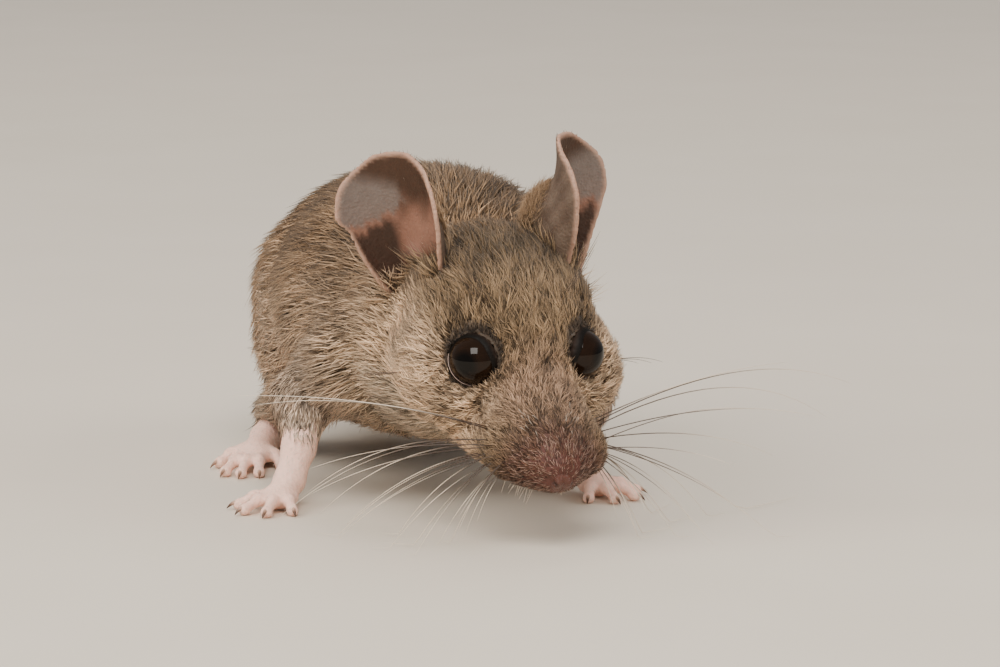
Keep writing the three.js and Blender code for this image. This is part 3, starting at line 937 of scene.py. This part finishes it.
def hair_material():
    look = {"Specular_IOR_Level": 0.2, "Sheen_Weight": 0.06, "Sheen_Roughness": 0.5}
    s = Shader("hair", Roughness=0.55, **look)
    s.mottle(2600, 0.82, 1.18)
    s.set("Roughness", s.spread(s.noise(5200), 0.46, 0.64))
    s.bump(s.noise(9000, 2), 0.00001)
    return s.material


def whisker_material():
    s = Shader("whisker", Roughness=0.35, Specular_IOR_Level=0.5)
    s.mottle(1500, 0.92, 1.08)
    return s.material


def eye_material():
    s = Shader("eye", Roughness=0.035, Specular_IOR_Level=0.2)
    off = s.number("off_axis")
    fleck = s.spread(s.noise(1400, 4), 0.5, 1.3)
    iris = s.shaded(s.node("RGB").outputs[0], fleck)
    s.tree.nodes["RGB"].outputs[0].default_value = rgba(30, 18, 10)
    pupil = s.spread(off, -1.2, 2.2)
    s.set("Base Color", s.mixed(s.node("Clamp", {"Value": pupil}).outputs[0], rgba(7, 5, 4), iris))
    return s.material


def lid_material():
    s = Shader("eyelid", Roughness=0.6, Specular_IOR_Level=0.2)
    s.mottle(3000, 0.75, 1.25, 4)
    s.bump(s.noise(5200, 4), 0.00005)
    return s.material


def tear_material():
    s = Shader("tear_line", Roughness=0.12, Specular_IOR_Level=0.8, Coat_Weight=1.0)
    # the tear line's pale colours are partly painted glint of the wet lid edge
    s.set("Base Color", s.mixed(s.noise(2600, 3), rgba(176, 140, 130), rgba(214, 196, 186)))
    return s.material


def nose_material():
    look = {"Specular_IOR_Level": 0.5, "Subsurface_Weight": 0.1, "Subsurface_Scale": 0.0005}
    s = Shader("nose", Roughness=0.38, **look)
    s.mottle(3600, 0.8, 1.2, 4)
    s.bump(s.maths("ADD", s.cells(7500), s.noise(4000, 3)), 0.00006)
    s.set("Roughness", s.spread(s.cells(7500), 0.3, 0.55))
    return s.material


def claw_material():
    s = Shader("claw", Roughness=0.3, Specular_IOR_Level=0.5)
    s.mottle(2500, 0.85, 1.15)
    return s.material


# ---- Skin, with what is at its openings ----


def make_skin():
    points, triangles = surface(skin, *SKIN_BOX, SKIN_STEP)
    points = pull_onto(skin, points)
    place, away = tail_place(points)
    on_tail = falls(away, 1.9, 2.6) * smoothstep(place, 2, 6)
    on_tail *= falls(place, TAIL_LENGTH - 2, TAIL_LENGTH)
    piece = mesh_object(
        "skin", points, triangles, skin_material(), "paw_skin", skin_colours(points),
        {"tail_place": place, "tail_weight": on_tail},
    )
    flesh = [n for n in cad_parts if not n.startswith(("eye", "nose"))]
    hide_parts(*flesh)
    return points, triangles


def make_eye(name):
    off = np.linspace(2, 178, 60)[:, None] + np.zeros(72)
    around = np.linspace(0, 360, 72, endpoint=False)[None] + np.zeros((60, 1))
    bulge = 0.03 * hill(off, 42)
    grid = eye_point(name, around, off, EYE_RADIUS - 0.02 + bulge)
    points, triangles = rolled(grid)
    off_axis = np.radians(np.concatenate([off.ravel(), [0, 180]]))
    values = {"off_axis": off_axis}
    eye = mesh_object(f"eyeball_{name}", points, triangles, eye_material(), "eye", values=values)
    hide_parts(f"eye_{name}")


# A lid's cross-section: degrees out from the opening's edge, and distance from the eye's centre.
LID_SECTION = [
    (-4, 1.78), (-3, 1.81), (-1, 1.84), (1, 1.87), (4, 1.9), (8, 1.93), (13, 1.94), (19, 1.88),
    (26, 1.8), (25, 1.7), (8, 1.7),
]


def make_lid(name):
    around = np.linspace(0, 360, 128, endpoint=False)
    section = np.array(LID_SECTION)
    off = lid_edge(around)[None] + section[:, :1]
    crease = 0.02 * np.sin(np.radians(around) * 23) * smoothstep(section[:, :1], 3, 12)
    grid = eye_point(name, around[None] + np.zeros_like(off), off, section[:, 1:] + crease)
    points, triangles = rolled(grid, ring=True)
    out = np.repeat(section[:, 0], len(around))
    colours = toward(srgb(12, 8, 6), srgb(46, 34, 28), smoothstep(out, 3, 18))
    mesh_object(f"eyelid_{name}", points, triangles, lid_material(), "paw_skin", colours)

    angle = np.linspace(0, 2 * math.pi, 8, endpoint=False)[:, None]
    # the tear line is the lid edge's own moist rim; its pale colour, and its width on the lower nasal
    # side, are partly painted glint
    painted_glint = smoothstep(np.cos(np.radians(around - 285)), 0.1, 0.85)
    size = 0.004 + 0.036 * painted_glint
    off = lid_edge(around)[None] + 1.2 + np.degrees(np.cos(angle) * size / EYE_RADIUS)
    radius = 1.87 - 0.12 * falls(painted_glint, 0, 0.5) + np.sin(angle) * size
    grid = eye_point(name, around[None] + np.zeros_like(off), off, radius)
    points, triangles = rolled(grid, ring=True)
    mesh_object(f"tear_line_{name}", points, triangles, tear_material(), "eye")


def make_nose():
    pads = both_sides([0.4, -10.0, -2.5], [0.48, 0.6, 0.52])
    nostrils = [bone([s * 0.62, -10.5, -2.55], 0.12, [s * 1.0, -9.9, -2.45], 0.1) for s in (1, -1)]
    groove = bone([0, -10.75, -2.2], 0.06, [0, -10.0, -3.9], 0.07)
    zone = ellipsoid(NOSE_PAD, [0.85, 0.95, 0.85])

    def nose(p):
        q = to_head(p)
        value = body_coat(p) + 0.12
        for pad in pads:
            value = soft_min(value, pad(q), 0.25)
        for cut in (*nostrils, groove):
            value = soft_max(value, -cut(q), 0.12)
        return soft_max(value, zone(q), 0.25)

    middle = from_head([0, -10.1, -2.7])
    points, triangles = surface(nose, middle - 1.8, middle + 1.8, 0.06, band=0.6)
    points = pull_onto(nose, points, reach=0.05)
    q = to_head(points)
    hollow = np.min([cut(q) for cut in nostrils], axis=0)
    colours = painted(
        srgb(84, 46, 34),
        (MAUVE * 0.8, smoothstep(np.abs(q[:, 0]), 0.3, 1.0)),
        # painted shade: darker where the surface lies in the nostrils' hollows
        (srgb(48, 24, 16), falls(hollow, -0.02, 0.12)),
    )
    piece = mesh_object("nose_pad", points, triangles, nose_material(), "nose_skin", colours)
    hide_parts("nose")


def make_claws(name, joints, length, dark):
    parts, shares = [], []
    for _, _, tip, heading in joints:
        t = np.linspace(0, 1, 7)
        line = np.array([along(tip, heading, 0.18 + length * u, 0, 0.56 - 0.42 * u * u) for u in t])
        parts.append(tube(line, 0.17 * (1 - t) ** 0.7 + 0.02, 8))
        shares.append(np.concatenate([np.repeat(t, 8), [0, 1]]))
    points, triangles = joined(parts)
    colours = toward(srgb(206, 168, 146), dark, smoothstep(np.concatenate(shares), 0.1, 0.8))
    mesh_object(name, points, triangles, claw_material(), "paw_skin", colours)


# ---- Coat ----

STRAND = np.array([
    [0, 1, 4], [0, 4, 3], [1, 2, 5], [1, 5, 4], [2, 0, 3], [2, 3, 5], [3, 4, 6], [4, 5, 6],
    [5, 3, 6], [2, 1, 0],
])
STRAND_PATCH = np.array(  # where a strand's points lie round its place on the unwrap
    [[-1, -1.3], [0, -1.3], [1, -1.3], [-0.8, 0.2], [0, 0.2], [0.8, 0.2], [0, 1.5]]
) * 0.001
PIECE_STRANDS = 19500  # of ten triangles each
LONGEST_HAIR = 4.2
# Hairs to a square millimetre.
PAW_HAIRS, TAIL_HAIRS = 18, 14
EAR_HAIRS = {"outside": 36, "inside": 5, "inner foot": 12, "swelling": 70}


def ripple(p, size, seed):
    """A smooth number from about -1 to 1 that changes over that many millimetres."""
    waves = np.random.default_rng(seed).normal(size=(6, 3)) * (2 / size)
    phases = np.random.default_rng(seed + 1).uniform(0, 2 * math.pi, 6)
    return np.sin(p @ waves.T + phases).sum(1) / 2.4


def comb(p, normal):
    """The way the coat lies: from the nose over the head, round the eyes, back and down the body,
    and down the legs."""
    q = to_head(p)
    away = unit(p - NOSE_TIP)
    for name, mid in EYE_MIDS.items():
        from_eye = q - mid
        distance = np.linalg.norm(from_eye, axis=1, keepdims=True)
        away = away + 0.9 * hill(distance, 3.4) * (unit(from_eye) @ HEAD_TURN.T)
    down = 0.5 * falls(p[:, 2], 8, 22) + 0.1
    back = np.stack([0.06 * p[:, 0], np.ones(len(p)), -down], axis=1)
    way = lerp(unit(away), unit(back), smoothstep(q[:, 1], 6, 14)[:, None])
    for leg in legs:
        elbow, wrist = leg["elbow"], leg["wrist"]
        amount = falls(bone(elbow, 2.1, wrist, 1.4)(p), 0, 1.5)
        way = lerp(way, unit(wrist - elbow + [0, 0, -2]), amount[:, None])
        amount = falls(away_from(leg["heel"], p), 2, 6)
        way = lerp(way, np.array([0, 0.3, -1]), amount[:, None])
    way = way - normal * (way * normal).sum(1, keepdims=True)
    return unit(way)


def strands(root, normal, way, length, width, lift, curl):
    """Three-sided hairs that rise from the skin, turn aside by curl and bend to lie along it. Each
    has seven points and ten triangles."""
    aside = np.cross(way, normal)
    first = way * np.cos(lift)[:, None] + normal * np.sin(lift)[:, None]
    turned = unit(way + aside * np.tan(curl)[:, None])
    later = turned * np.cos(lift * 0.2)[:, None] + normal * np.sin(lift * 0.2)[:, None]
    foot = root - normal * 0.08
    middle = foot + first * (length * 0.48)[:, None]
    tip = middle + later * (length * 0.52)[:, None]
    points = np.empty((len(root), 7, 3))
    for k in range(3):
        angle = 2 * math.pi * k / 3 + 0.5
        over = np.cross(aside, first)
        spoke = (aside * math.cos(angle) + over * math.sin(angle)) * (width / 2)[:, None]
        points[:, k] = foot + spoke
        points[:, k + 3] = middle + spoke * 0.85
    points[:, 6] = tip
    points[..., 2] = np.maximum(points[..., 2], FLOOR_GAP)
    triangles = (np.arange(len(root)) * 7)[:, None, None] + STRAND
    return points, triangles


def hair_piece(name, slot, material, hairs, chart):
    """One mesh of hairs. chart is each root's place on an unwrap of the skin, from 0 to 1."""
    keys = ("root", "normal", "way", "length", "width", "lift", "curl")
    points, triangles = strands(*[hairs[key] for key in keys])
    feet, tips = hairs["feet"], hairs["tips"]
    colours = np.empty(points.shape)
    colours[:, :3] = feet[:, None]
    colours[:, 3:6] = lerp(feet, tips, 0.62)[:, None]
    colours[:, 6] = tips
    uv = (chart * 0.99 + 0.005)[:, None] + STRAND_PATCH
    shape = points.reshape(-1, 3), triangles.reshape(-1, 3)
    mesh_object(name, *shape, material, slot, colours.reshape(-1, 3), uv=uv.reshape(-1, 2))


def scatter(points, triangles, density):
    """Random places on a mesh, so many to a square millimetre at each face, and their normals."""
    a, b, c = (points[triangles[:, k]] for k in range(3))
    cross = np.cross(b - a, c - a)
    area = np.linalg.norm(cross, axis=1) / 2
    count = rng.poisson(area * density)
    face = np.repeat(np.arange(len(triangles)), count)
    u, v = rng.random((2, len(face), 1))
    flip = (u + v) > 1
    u, v = np.where(flip, 1 - u, u), np.where(flip, 1 - v, v)
    return a[face] + u * (b - a)[face] + v * (c - a)[face], unit(cross[face])


def regions(p):
    """Whether each point is on an ear, a paw or the tail, or bare round an eye or on the nose."""
    on_ear = np.min([field(p) for field in ear_fields], axis=0) < 0.1
    on_paw = np.min([limb(p) for limb in limbs], axis=0) < 0.1
    on_paw |= limb_reach(p)[1] < WRIST_BARE
    on_paw &= p[:, 2] < PAW_TOP + 0.3 * ripple(p, 0.9, 43)
    place, away = tail_place(p)
    on_tail = (place > 3) & (away < 2.3)
    q = to_head(p)
    bare = ellipsoid(NOSE_PAD, [0.68, 0.8, 0.68])(q) < 0
    for name, ear in EARS.items():
        from_eye = q - EYE_MIDS[name]
        distance = np.linalg.norm(from_eye, axis=1)
        off = np.degrees(np.arccos(np.clip(unit(from_eye) @ eye_axes(ear["side"])[0], -1, 1)))
        above = 7 * smoothstep(from_eye[:, 2], 0.6, 1.6)
        bare |= (distance < LID_RADIUS + 0.12) & (off < LID_OPENING + 9 + above)
    return on_ear, on_paw, on_tail, bare


def agouti(p, tips, dark_share):
    """Foot and tip colours of hairs in soft streaks: most end in the colour of the markings and
    their painted shade, and some are dark guard hairs."""
    luck = rng.random(len(p))
    streak = ripple(p, 0.35, 47) * 0.5 + ripple(p, 0.9, 41) * 0.4 + ripple(p, 3.5, 46) * 0.3
    shade = 1.04 + 0.42 * streak + rng.normal(0, 0.24, len(p))
    tips = tips * np.clip(shade, 0.35, 2.0)[:, None]
    dark = luck < dark_share * (1 + 0.5 * np.clip(-streak, -0.8, 1))
    tips[dark] *= 0.3
    pale_hair = falls(nose_distance(p), 2.4, 4.2)
    whitish = luck > 1 - 0.3 * pale_hair
    tips[whitish] = srgb(186, 152, 134)
    feet = lerp(UNDERCOAT * 0.6, tips * 0.6, 0.3)
    return feet, tips


def on_tangent(way, normal):
    return unit(way - normal * (way * normal).sum(1, keepdims=True))


def limb_reach(p):
    """Distances from the lower front legs and from the heels, whichever leg is nearest."""
    arm = np.min([bone(leg["elbow"], 2.0, leg["wrist"], 1.4)(p) for leg in legs], axis=0)
    wrist = np.min([away_from(leg["wrist"], p) for leg in legs], axis=0)
    heel = np.min([away_from(leg["heel"], p) for leg in legs], axis=0)
    return arm, wrist, heel


def body_length(p):
    """How long the coat is: shortest on the nose and round the eyes, short on the legs, longest
    on the rump."""
    lengths = [0.42, 0.8, 1.25, 1.8, 2.7, LONGEST_HAIR]
    length = np.interp(nose_distance(p), [0.8, 3, 7, 12, 18, 27], lengths)
    length *= np.interp(eye_distance(p), [2.0, 2.5, 3.6], [0.42, 0.68, 1])
    arm, wrist, heel = limb_reach(p)
    length = np.minimum(length, np.interp(arm, [-0.5, 1, 3], [1.3, 1.8, LONGEST_HAIR]))
    length = np.minimum(length, np.interp(wrist, [0.5, 5], [0.7, LONGEST_HAIR]))
    place, away = tail_place(p)
    on_tail = np.interp(place, [0, 4], [2.4, 0.9])
    length = np.minimum(length, lerp(on_tail, LONGEST_HAIR, smoothstep(away, 2.4, 6)))
    return np.minimum(length, np.interp(heel, [1, 7], [0.8, LONGEST_HAIR]))


def body_hairs(root, normal):
    count = len(root)
    away = nose_distance(root)
    coarse = 1.0
    head = falls(away, 9, 18)
    length = body_length(root) * np.clip(rng.normal(1, lerp(0.13, 0.22, head), count), 0.45, 1.6)
    width = np.interp(away, [1, 7, 14, 26], [0.047, 0.074, 0.094, 0.107])
    width = width * rng.uniform(0.75, 1.25, count) * coarse
    tuft = ripple(root, 0.6, 61)
    rise = coat_depth(root) / length * (1.2 + lerp(0.18, 0.35, head) * tuft)
    lift = np.arcsin(np.clip(rise, 0.1, 0.8)) * rng.uniform(0.7, 1.1, count)
    way = comb(root, normal)
    swing = lerp(0.14, 0.34, head) * ripple(root, 0.75, 21) + 0.16 * ripple(root, 3.2, 31)
    swing += rng.normal(0, 1, count) * lerp(0.13, 0.24, head)
    way = unit(way + np.cross(way, normal) * swing[:, None])
    curl = lerp(0.16, 0.42, head) * ripple(root, 0.5, 51)
    curl = curl + rng.normal(0, 1, count) * lerp(0.12, 0.3, head)
    feet, tips = agouti(root, coat_markings_and_painted_shade(root), np.interp(away, [3, 8], [0.3, 0.25]))
    return {
        "root": root, "normal": normal, "way": way, "length": length, "width": width, "lift": lift,
        "curl": np.clip(curl, -0.9, 0.9), "feet": feet, "tips": tips,
    }


def plain_hairs(root, normal, way, length, width, lift, colour, spread=0.2):
    """Sparser hairs of one length and colour, give or take a little."""
    count = len(root)
    way = unit(way + np.cross(way, normal) * rng.normal(0, spread, count)[:, None])
    tips = colour * rng.uniform(0.75, 1.25, count)[:, None]
    return {
        "root": root, "normal": normal, "way": way, "length": length * rng.uniform(0.6, 1.3, count),
        "width": width * rng.uniform(0.8, 1.2, count), "lift": lift * rng.uniform(0.6, 1.4, count),
        "curl": rng.normal(0, 0.2, count), "feet": tips * 0.7, "tips": tips,
    }


def stretched(values):
    return (values - values.min()) / max(np.ptp(values), 1e-6)


def make_body_coat(points, triangles, thin, bare, material):
    away = nose_distance(points[triangles].mean(1))
    thick = np.interp(away, [0, 3, 8, 13, 19, 27], [56, 72, 88, 72, 46, 31]) * thin
    thick[bare] = 0
    root, normal = scatter(points, triangles, thick)
    order = np.argsort(to_head(root)[:, 1] + rng.normal(0, 0.35, len(root)), kind="stable")
    hairs = body_hairs(root[order], normal[order])
    pieces = math.ceil(len(root) / PIECE_STRANDS)
    for n, part in enumerate(np.array_split(np.arange(len(root)), pieces)):
        some = {key: value[part] for key, value in hairs.items()}
        p, q = some["root"], to_head(some["root"])
        if q[:, 1].mean() < 7:
            u, v = np.arctan2(q[:, 0], q[:, 2] + 2), q[:, 1]
        else:
            u, v = np.arctan2(p[:, 0], p[:, 2] - 12), p[:, 1]
        chart = np.stack([u / (2 * math.pi) + 0.5, stretched(v)], axis=1)
        hair_piece(f"coat_{n + 1}", "coat", material, some, chart)


def make_ear_hair(name, points, triangles, thin, material):
    """Velvet on an ear's outer side, a few pale hairs inside, and longer tufts round its foot."""
    ear = EARS[name]
    rotation, _ = ear_frame(ear)
    field = ear_fields[list(EARS).index(name)]
    centres = points[triangles].mean(1)
    h, round_it, over, inset = ear_place(ear, centres)
    on_it = (field(centres) < 0.25) & (h > 0.02)
    outer, low = over > 0, h < 0.26
    density = np.where(outer, EAR_HAIRS["outside"], EAR_HAIRS["inside"]) * on_it
    density = density * ((inset < -0.2) | (np.abs(over) > 0.5)) * thin
    density[on_it & low & ~outer] = EAR_HAIRS["inner foot"] * thin
    density[on_it & (over > 0.5)] = EAR_HAIRS["swelling"] * thin
    root, normal = scatter(points, triangles, density)
    h, round_it, over, inset = ear_place(ear, root)
    outer = over > 0
    tuft = np.maximum(falls(h, 0.14, 0.3), smoothstep(over, 0.35, 0.9))
    inner_tuft = np.where(outer, 0.5, 1) * tuft
    way = on_tangent(np.broadcast_to(rotation[:, 2], root.shape), normal)
    length = lerp(np.where(outer, 0.45, 0.4), 2.3, inner_tuft)
    lift = lerp(0.22, 0.42, inner_tuft)
    velvet = np.where(outer[:, None], srgb(112, 92, 76), srgb(190, 168, 150))
    colour = toward(velvet, coat_markings_and_painted_shade(root), tuft)
    hairs = plain_hairs(root, normal, way, length, lerp(0.032, 0.05, tuft), lift, colour, 0.6)
    chart = np.stack([(round_it / 13 + 0.5) * 0.49 + 0.5 * outer, np.clip(h, 0, 1)], axis=1)
    hair_piece(f"coat_ear_{name}", "coat", material, hairs, np.clip(chart, 0, 1))


def make_foot_hair(points, triangles, thin, on_paw, material):
    """Fine white hairs that lie along the paws, and none under the soles."""
    centres = points[triangles].mean(1)
    root, normal = scatter(points, triangles, PAW_HAIRS * thin * on_paw * (centres[:, 2] > 0.45))
    values = np.array([limb(root) for limb in limbs])
    which = values.argmin(0)
    starts = [leg[k] for leg in legs for k in ("wrist", "heel")]
    ends = [leg[k] for leg in legs for k in ("front_toes", "hind_toes")]
    ahead = unit(np.array(ends) - np.array(starts))[which]
    way = on_tangent(ahead, normal)
    hairs = plain_hairs(root, normal, way, 0.5, 0.03, 0.3, srgb(236, 222, 210))
    from_start = root - np.array(starts)[which]
    run = (from_start * ahead).sum(1)
    aside = np.cross(ahead, [0, 0, 1])
    angle = np.arctan2((from_start * aside).sum(1), root[:, 2] - 0.8)
    along_foot = (which + np.clip(run / 17, 0, 0.98)) / 4
    chart = np.stack([along_foot, angle / (2 * math.pi) + 0.5], axis=1)
    hair_piece("coat_paws", "paw_skin", material, hairs, np.clip(chart, 0, 1))


def make_tail_hair(points, triangles, thin, on_tail, material):
    """Short hairs that lie back along the tail, dark above and pale below."""
    root, normal = scatter(points, triangles, TAIL_HAIRS * thin * on_tail)
    place, _ = tail_place(root)
    last = len(tail_line) - 1
    index = np.clip((place / TAIL_LENGTH * last).astype(int), 0, last - 1)
    way = on_tangent(unit(tail_line[index + 1] - tail_line[index]), normal)
    colour = toward(srgb(98, 80, 66), srgb(206, 186, 170), smoothstep(-normal[:, 2], -0.2, 0.4))
    hairs = plain_hairs(root, normal, way, 0.95, 0.036, 0.3, colour)
    spoke = root - tail_line[index]
    angle = np.arctan2(spoke[:, 0], spoke[:, 2])
    chart = np.stack([place / TAIL_LENGTH, angle / (2 * math.pi) + 0.5], axis=1)
    hair_piece("coat_tail", "tail_skin", material, hairs, np.clip(chart, 0, 1))


def make_coat(points, triangles):
    material = hair_material()
    centres = points[triangles].mean(1)
    on_ear, on_paw, on_tail, bare = regions(centres)
    bare |= on_ear | on_paw | on_tail | (centres[:, 2] < 0.3)
    thin = 1.0
    make_body_coat(points, triangles, thin, bare, material)
    for name in EARS:
        make_ear_hair(name, points, triangles, thin, material)
    make_foot_hair(points, triangles, thin, on_paw, material)
    make_tail_hair(points, triangles, thin, on_tail, material)


# ---- Whiskers ----

# How each side's whiskers are held: back, and up, in the head's frame. The right ones are swept
# back, the left ones stand forward and up.
WHISKER_HOLD = {"left": (0.12, 0.42), "right": (0.52, -0.08)}
WHISKER_LENGTH = {"left": 25, "right": 19}
WHISKER_ROWS, WHISKERS_IN_ROW = 4, 5
WHISKER_ASIDE = 4.6  # how far from the middle they start, before they are pulled onto the skin
BROW_HAIRS, CHIN_HAIRS, MUZZLE_HAIRS = 3, 14, 9  # on each side
PALE_ALL_OVER, DARK_ALL_OVER = -0.3, 2  # for a hair's dark share
WHISKER_DARK, WHISKER_PALE = srgb(66, 50, 40), srgb(222, 206, 188)


def whisker(root, way, length, radius, droop):
    """A tapering bristle that leaves the skin one way and bends down under its own curve."""
    t = np.linspace(0, 1, 18)[:, None]
    line = root + length * (unit(way) * t + np.array(droop) * t * t)
    line[:, 2] = np.maximum(line[:, 2], 0.12 + 0.1 * t[:, 0])
    share = np.concatenate([np.repeat(t[:, 0], 5), [0, 1]])
    return tube(line, radius * (1 - t[:, 0]) ** 0.5 + 0.005, 5), share


def make_whiskers(name, material):
    """One side's whiskers in rows, a long one, and the short hairs of brow, cheek, chin and muzzle.
    Each is dark for a share of its length from the root and pale beyond."""
    side = EARS[name]["side"]
    back, up = WHISKER_HOLD[name]
    made, shares, darkness = [], [], []

    def add(at, way, length, radius, droop, dark):
        root = pull_onto(skin, from_head([at]), passes=25, reach=0.3)[0]
        bristle, share = whisker(root, np.array(way) @ HEAD_TURN.T, length, radius, droop)
        made.append(bristle)
        shares.append(share)
        darkness.append(np.full(len(share), dark))

    for r in range(WHISKER_ROWS):
        for c in range(WHISKERS_IN_ROW):
            row, column = r / (WHISKER_ROWS - 1), c / (WHISKERS_IN_ROW - 1)
            jitter = rng.normal(0, 0.13, 3)
            ahead, up_it = lerp(-8.4, -4.9, column), lerp(-1.7, -4.4, row)
            at = [side * WHISKER_ASIDE, ahead + jitter[0], up_it + jitter[1]]
            way = [
                side * lerp(0.5, 0.95, column),
                back + lerp(-0.75, 0, column) + jitter[2],
                lerp(up, -0.62, row) + jitter[0],
            ]
            length = lerp(5, WHISKER_LENGTH[name], column**0.8) * lerp(1, 0.72, row)
            length = length * rng.uniform(0.75, 1.15)
            droop = [-0.12 * side, 0.1, -lerp(0.2, 0.5, rng.random())]
            add(at, way, length, lerp(0.024, 0.04, column), droop, lerp(0.6, 0.2, row))
    for n in range(BROW_HAIRS):
        over_eye = [side * (3.0 + 0.5 * n), 1.8 + 0.3 * n, 4.5]
        add(over_eye, [side * 0.5, 0.35, 0.75], 6.5 - n, 0.022, [0, 0.25, -0.1], DARK_ALL_OVER)
        on_cheek = [side * 9, 2.4 + 0.5 * n, -2.6 - 0.6 * n]
        add(on_cheek, [side * 0.9, 0.35, -0.1], 6 - n, 0.022, [0, 0.2, -0.25], DARK_ALL_OVER)
    long_one = [side * WHISKER_ASIDE, -4.6, -1.6]
    add(long_one, [side * 0.93, 0.36, 0.12], 19, 0.04, [0, 0.05, -0.16], 0.2)
    for n in range(CHIN_HAIRS):
        on_chin = [side * rng.uniform(0.2, 2.6), rng.uniform(-8.2, -4.5), -7]
        way = [side * 0.3, rng.uniform(-0.6, 0.2), -0.8]
        add(on_chin, way, rng.uniform(1.0, 2.1), 0.02, [0, 0.15, -0.1], PALE_ALL_OVER)
    for n in range(MUZZLE_HAIRS):
        on_muzzle = [side * rng.uniform(0.4, 2.6), rng.uniform(-8.6, -6.2), 1.5]
        way = [side * rng.uniform(0, 0.8), 0.5, 0.7]
        add(on_muzzle, way, rng.uniform(0.9, 1.5), 0.03, [0, 0.2, -0.2], 0.9)

    points, triangles = joined(made)
    share, dark = np.concatenate(shares), np.concatenate(darkness)
    colours = toward(WHISKER_DARK, WHISKER_PALE, smoothstep(share, dark * 0.5, dark + 0.25))
    mesh_object(f"whiskers_{name}", points, triangles, material, "coat", colours)


# ---- Light, floor and camera ----

# Name, azimuth, elevation, distance and size in metres, watts, colour, and if the eyes mirror it.
LIGHTS = [
    ("key", -12, 52, 0.5, (0.26, 0.26), 2.4, (1, 0.96, 0.9), True),
    ("side", -75, 35, 0.7, (0.7, 0.5), 4.8, (1, 0.95, 0.88), False),
    ("other_side", 70, 30, 0.8, (0.6, 0.5), 2.6, (1, 0.97, 0.94), False),
    ("behind", 170, 50, 0.8, (0.6, 0.4), 2.0, (1, 1, 1), False),
]
WORLD_COLOUR, WORLD_STRENGTH = (0.80, 0.78, 0.75, 1), 0.4
FLOOR_REACH = 1.5  # metres each way
CAMERA_AZIMUTH, CAMERA_ELEVATION = -12, 9
CAMERA_DISTANCE = 300  # millimetres, from the eyes
PHOTO_SIZE = (1000, 667)
PIXELS_PER_MM = 14  # at the eyes
EYES_IN_PHOTO = (527, 356.5)
SENSOR = 36


def direction(azimuth, elevation):
    """From the mouse towards a place round it."""
    a, e = math.radians(azimuth), math.radians(elevation)
    return np.array([math.sin(a) * math.cos(e), -math.cos(a) * math.cos(e), math.sin(e)])


def make_camera():
    back = direction(CAMERA_AZIMUTH, CAMERA_ELEVATION)
    a = math.radians(CAMERA_AZIMUTH)
    right = np.array([math.cos(a), math.sin(a), 0])
    up = np.cross(back, right)
    aside = (EYES_IN_PHOTO[0] - PHOTO_SIZE[0] / 2) / PIXELS_PER_MM
    below = (EYES_IN_PHOTO[1] - PHOTO_SIZE[1] / 2) / PIXELS_PER_MM
    place = eyes_between + back * CAMERA_DISTANCE - right * aside + up * below
    data = bpy.data.cameras.new("camera")
    data.sensor_width = SENSOR
    data.lens = SENSOR * PIXELS_PER_MM * CAMERA_DISTANCE / PHOTO_SIZE[0]
    data.clip_start, data.clip_end = 0.01, 10
    camera = bpy.data.objects.new("camera", data)
    camera.location = Vector(place * MM)
    camera.rotation_euler = Vector(-back).to_track_quat("-Z", "Y").to_euler()
    bpy.context.scene.collection.objects.link(camera)
    bpy.context.scene.camera = camera


def make_light(name, azimuth, elevation, distance, size, watts, colour, mirrored):
    back = Vector(direction(azimuth, elevation))
    data = bpy.data.lights.new(name, "AREA")
    data.shape, data.size, data.size_y = "RECTANGLE", *size
    data.energy, data.color = watts, colour
    light = bpy.data.objects.new(name, data)
    light.location = Vector(eyes_between * MM) + back * distance
    light.rotation_euler = back.to_track_quat("Z", "Y").to_euler()
    light.visible_glossy = mirrored
    bpy.context.scene.collection.objects.link(light)


def make_studio():
    for light in LIGHTS:
        make_light(*light)
    world = bpy.data.worlds.new("studio")
    world.use_nodes = True
    background = world.node_tree.nodes["Background"].inputs
    background["Color"].default_value = WORLD_COLOUR
    background["Strength"].default_value = WORLD_STRENGTH
    bpy.context.scene.world = world

    s = Shader("floor", Roughness=0.6)
    s.set("Base Color", s.mixed(s.noise(40, 2), rgba(214, 203, 188), rgba(220, 210, 196)))
    mesh = bpy.data.meshes.new("floor")
    square = ((-1, -1), (1, -1), (1, 1), (-1, 1))
    corners = [(x * FLOOR_REACH, y * FLOOR_REACH, 0) for x, y in square]
    mesh.from_pydata(corners, [], [(0, 1, 2, 3)])
    mesh.materials.append(s.material)
    floor = bpy.data.objects.new("floor", mesh)
    bpy.context.scene.collection.objects.link(floor)


# ---- The whole animal ----

skin_points, skin_triangles = make_skin()
for side_name, leg in zip(EARS, legs):
    make_eye(side_name)
    make_lid(side_name)
    make_claws(f"claws_forepaw_{side_name}", forepaw_toes(leg), 0.75, srgb(70, 44, 30))
    make_claws(f"claws_hindfoot_{side_name}", hindfoot_toes(leg), 0.85, srgb(110, 78, 60))
make_nose()
make_coat(skin_points, skin_triangles)
whisker_look = whisker_material()
for side_name in EARS:
    make_whiskers(side_name, whisker_look)
make_camera()
make_studio()
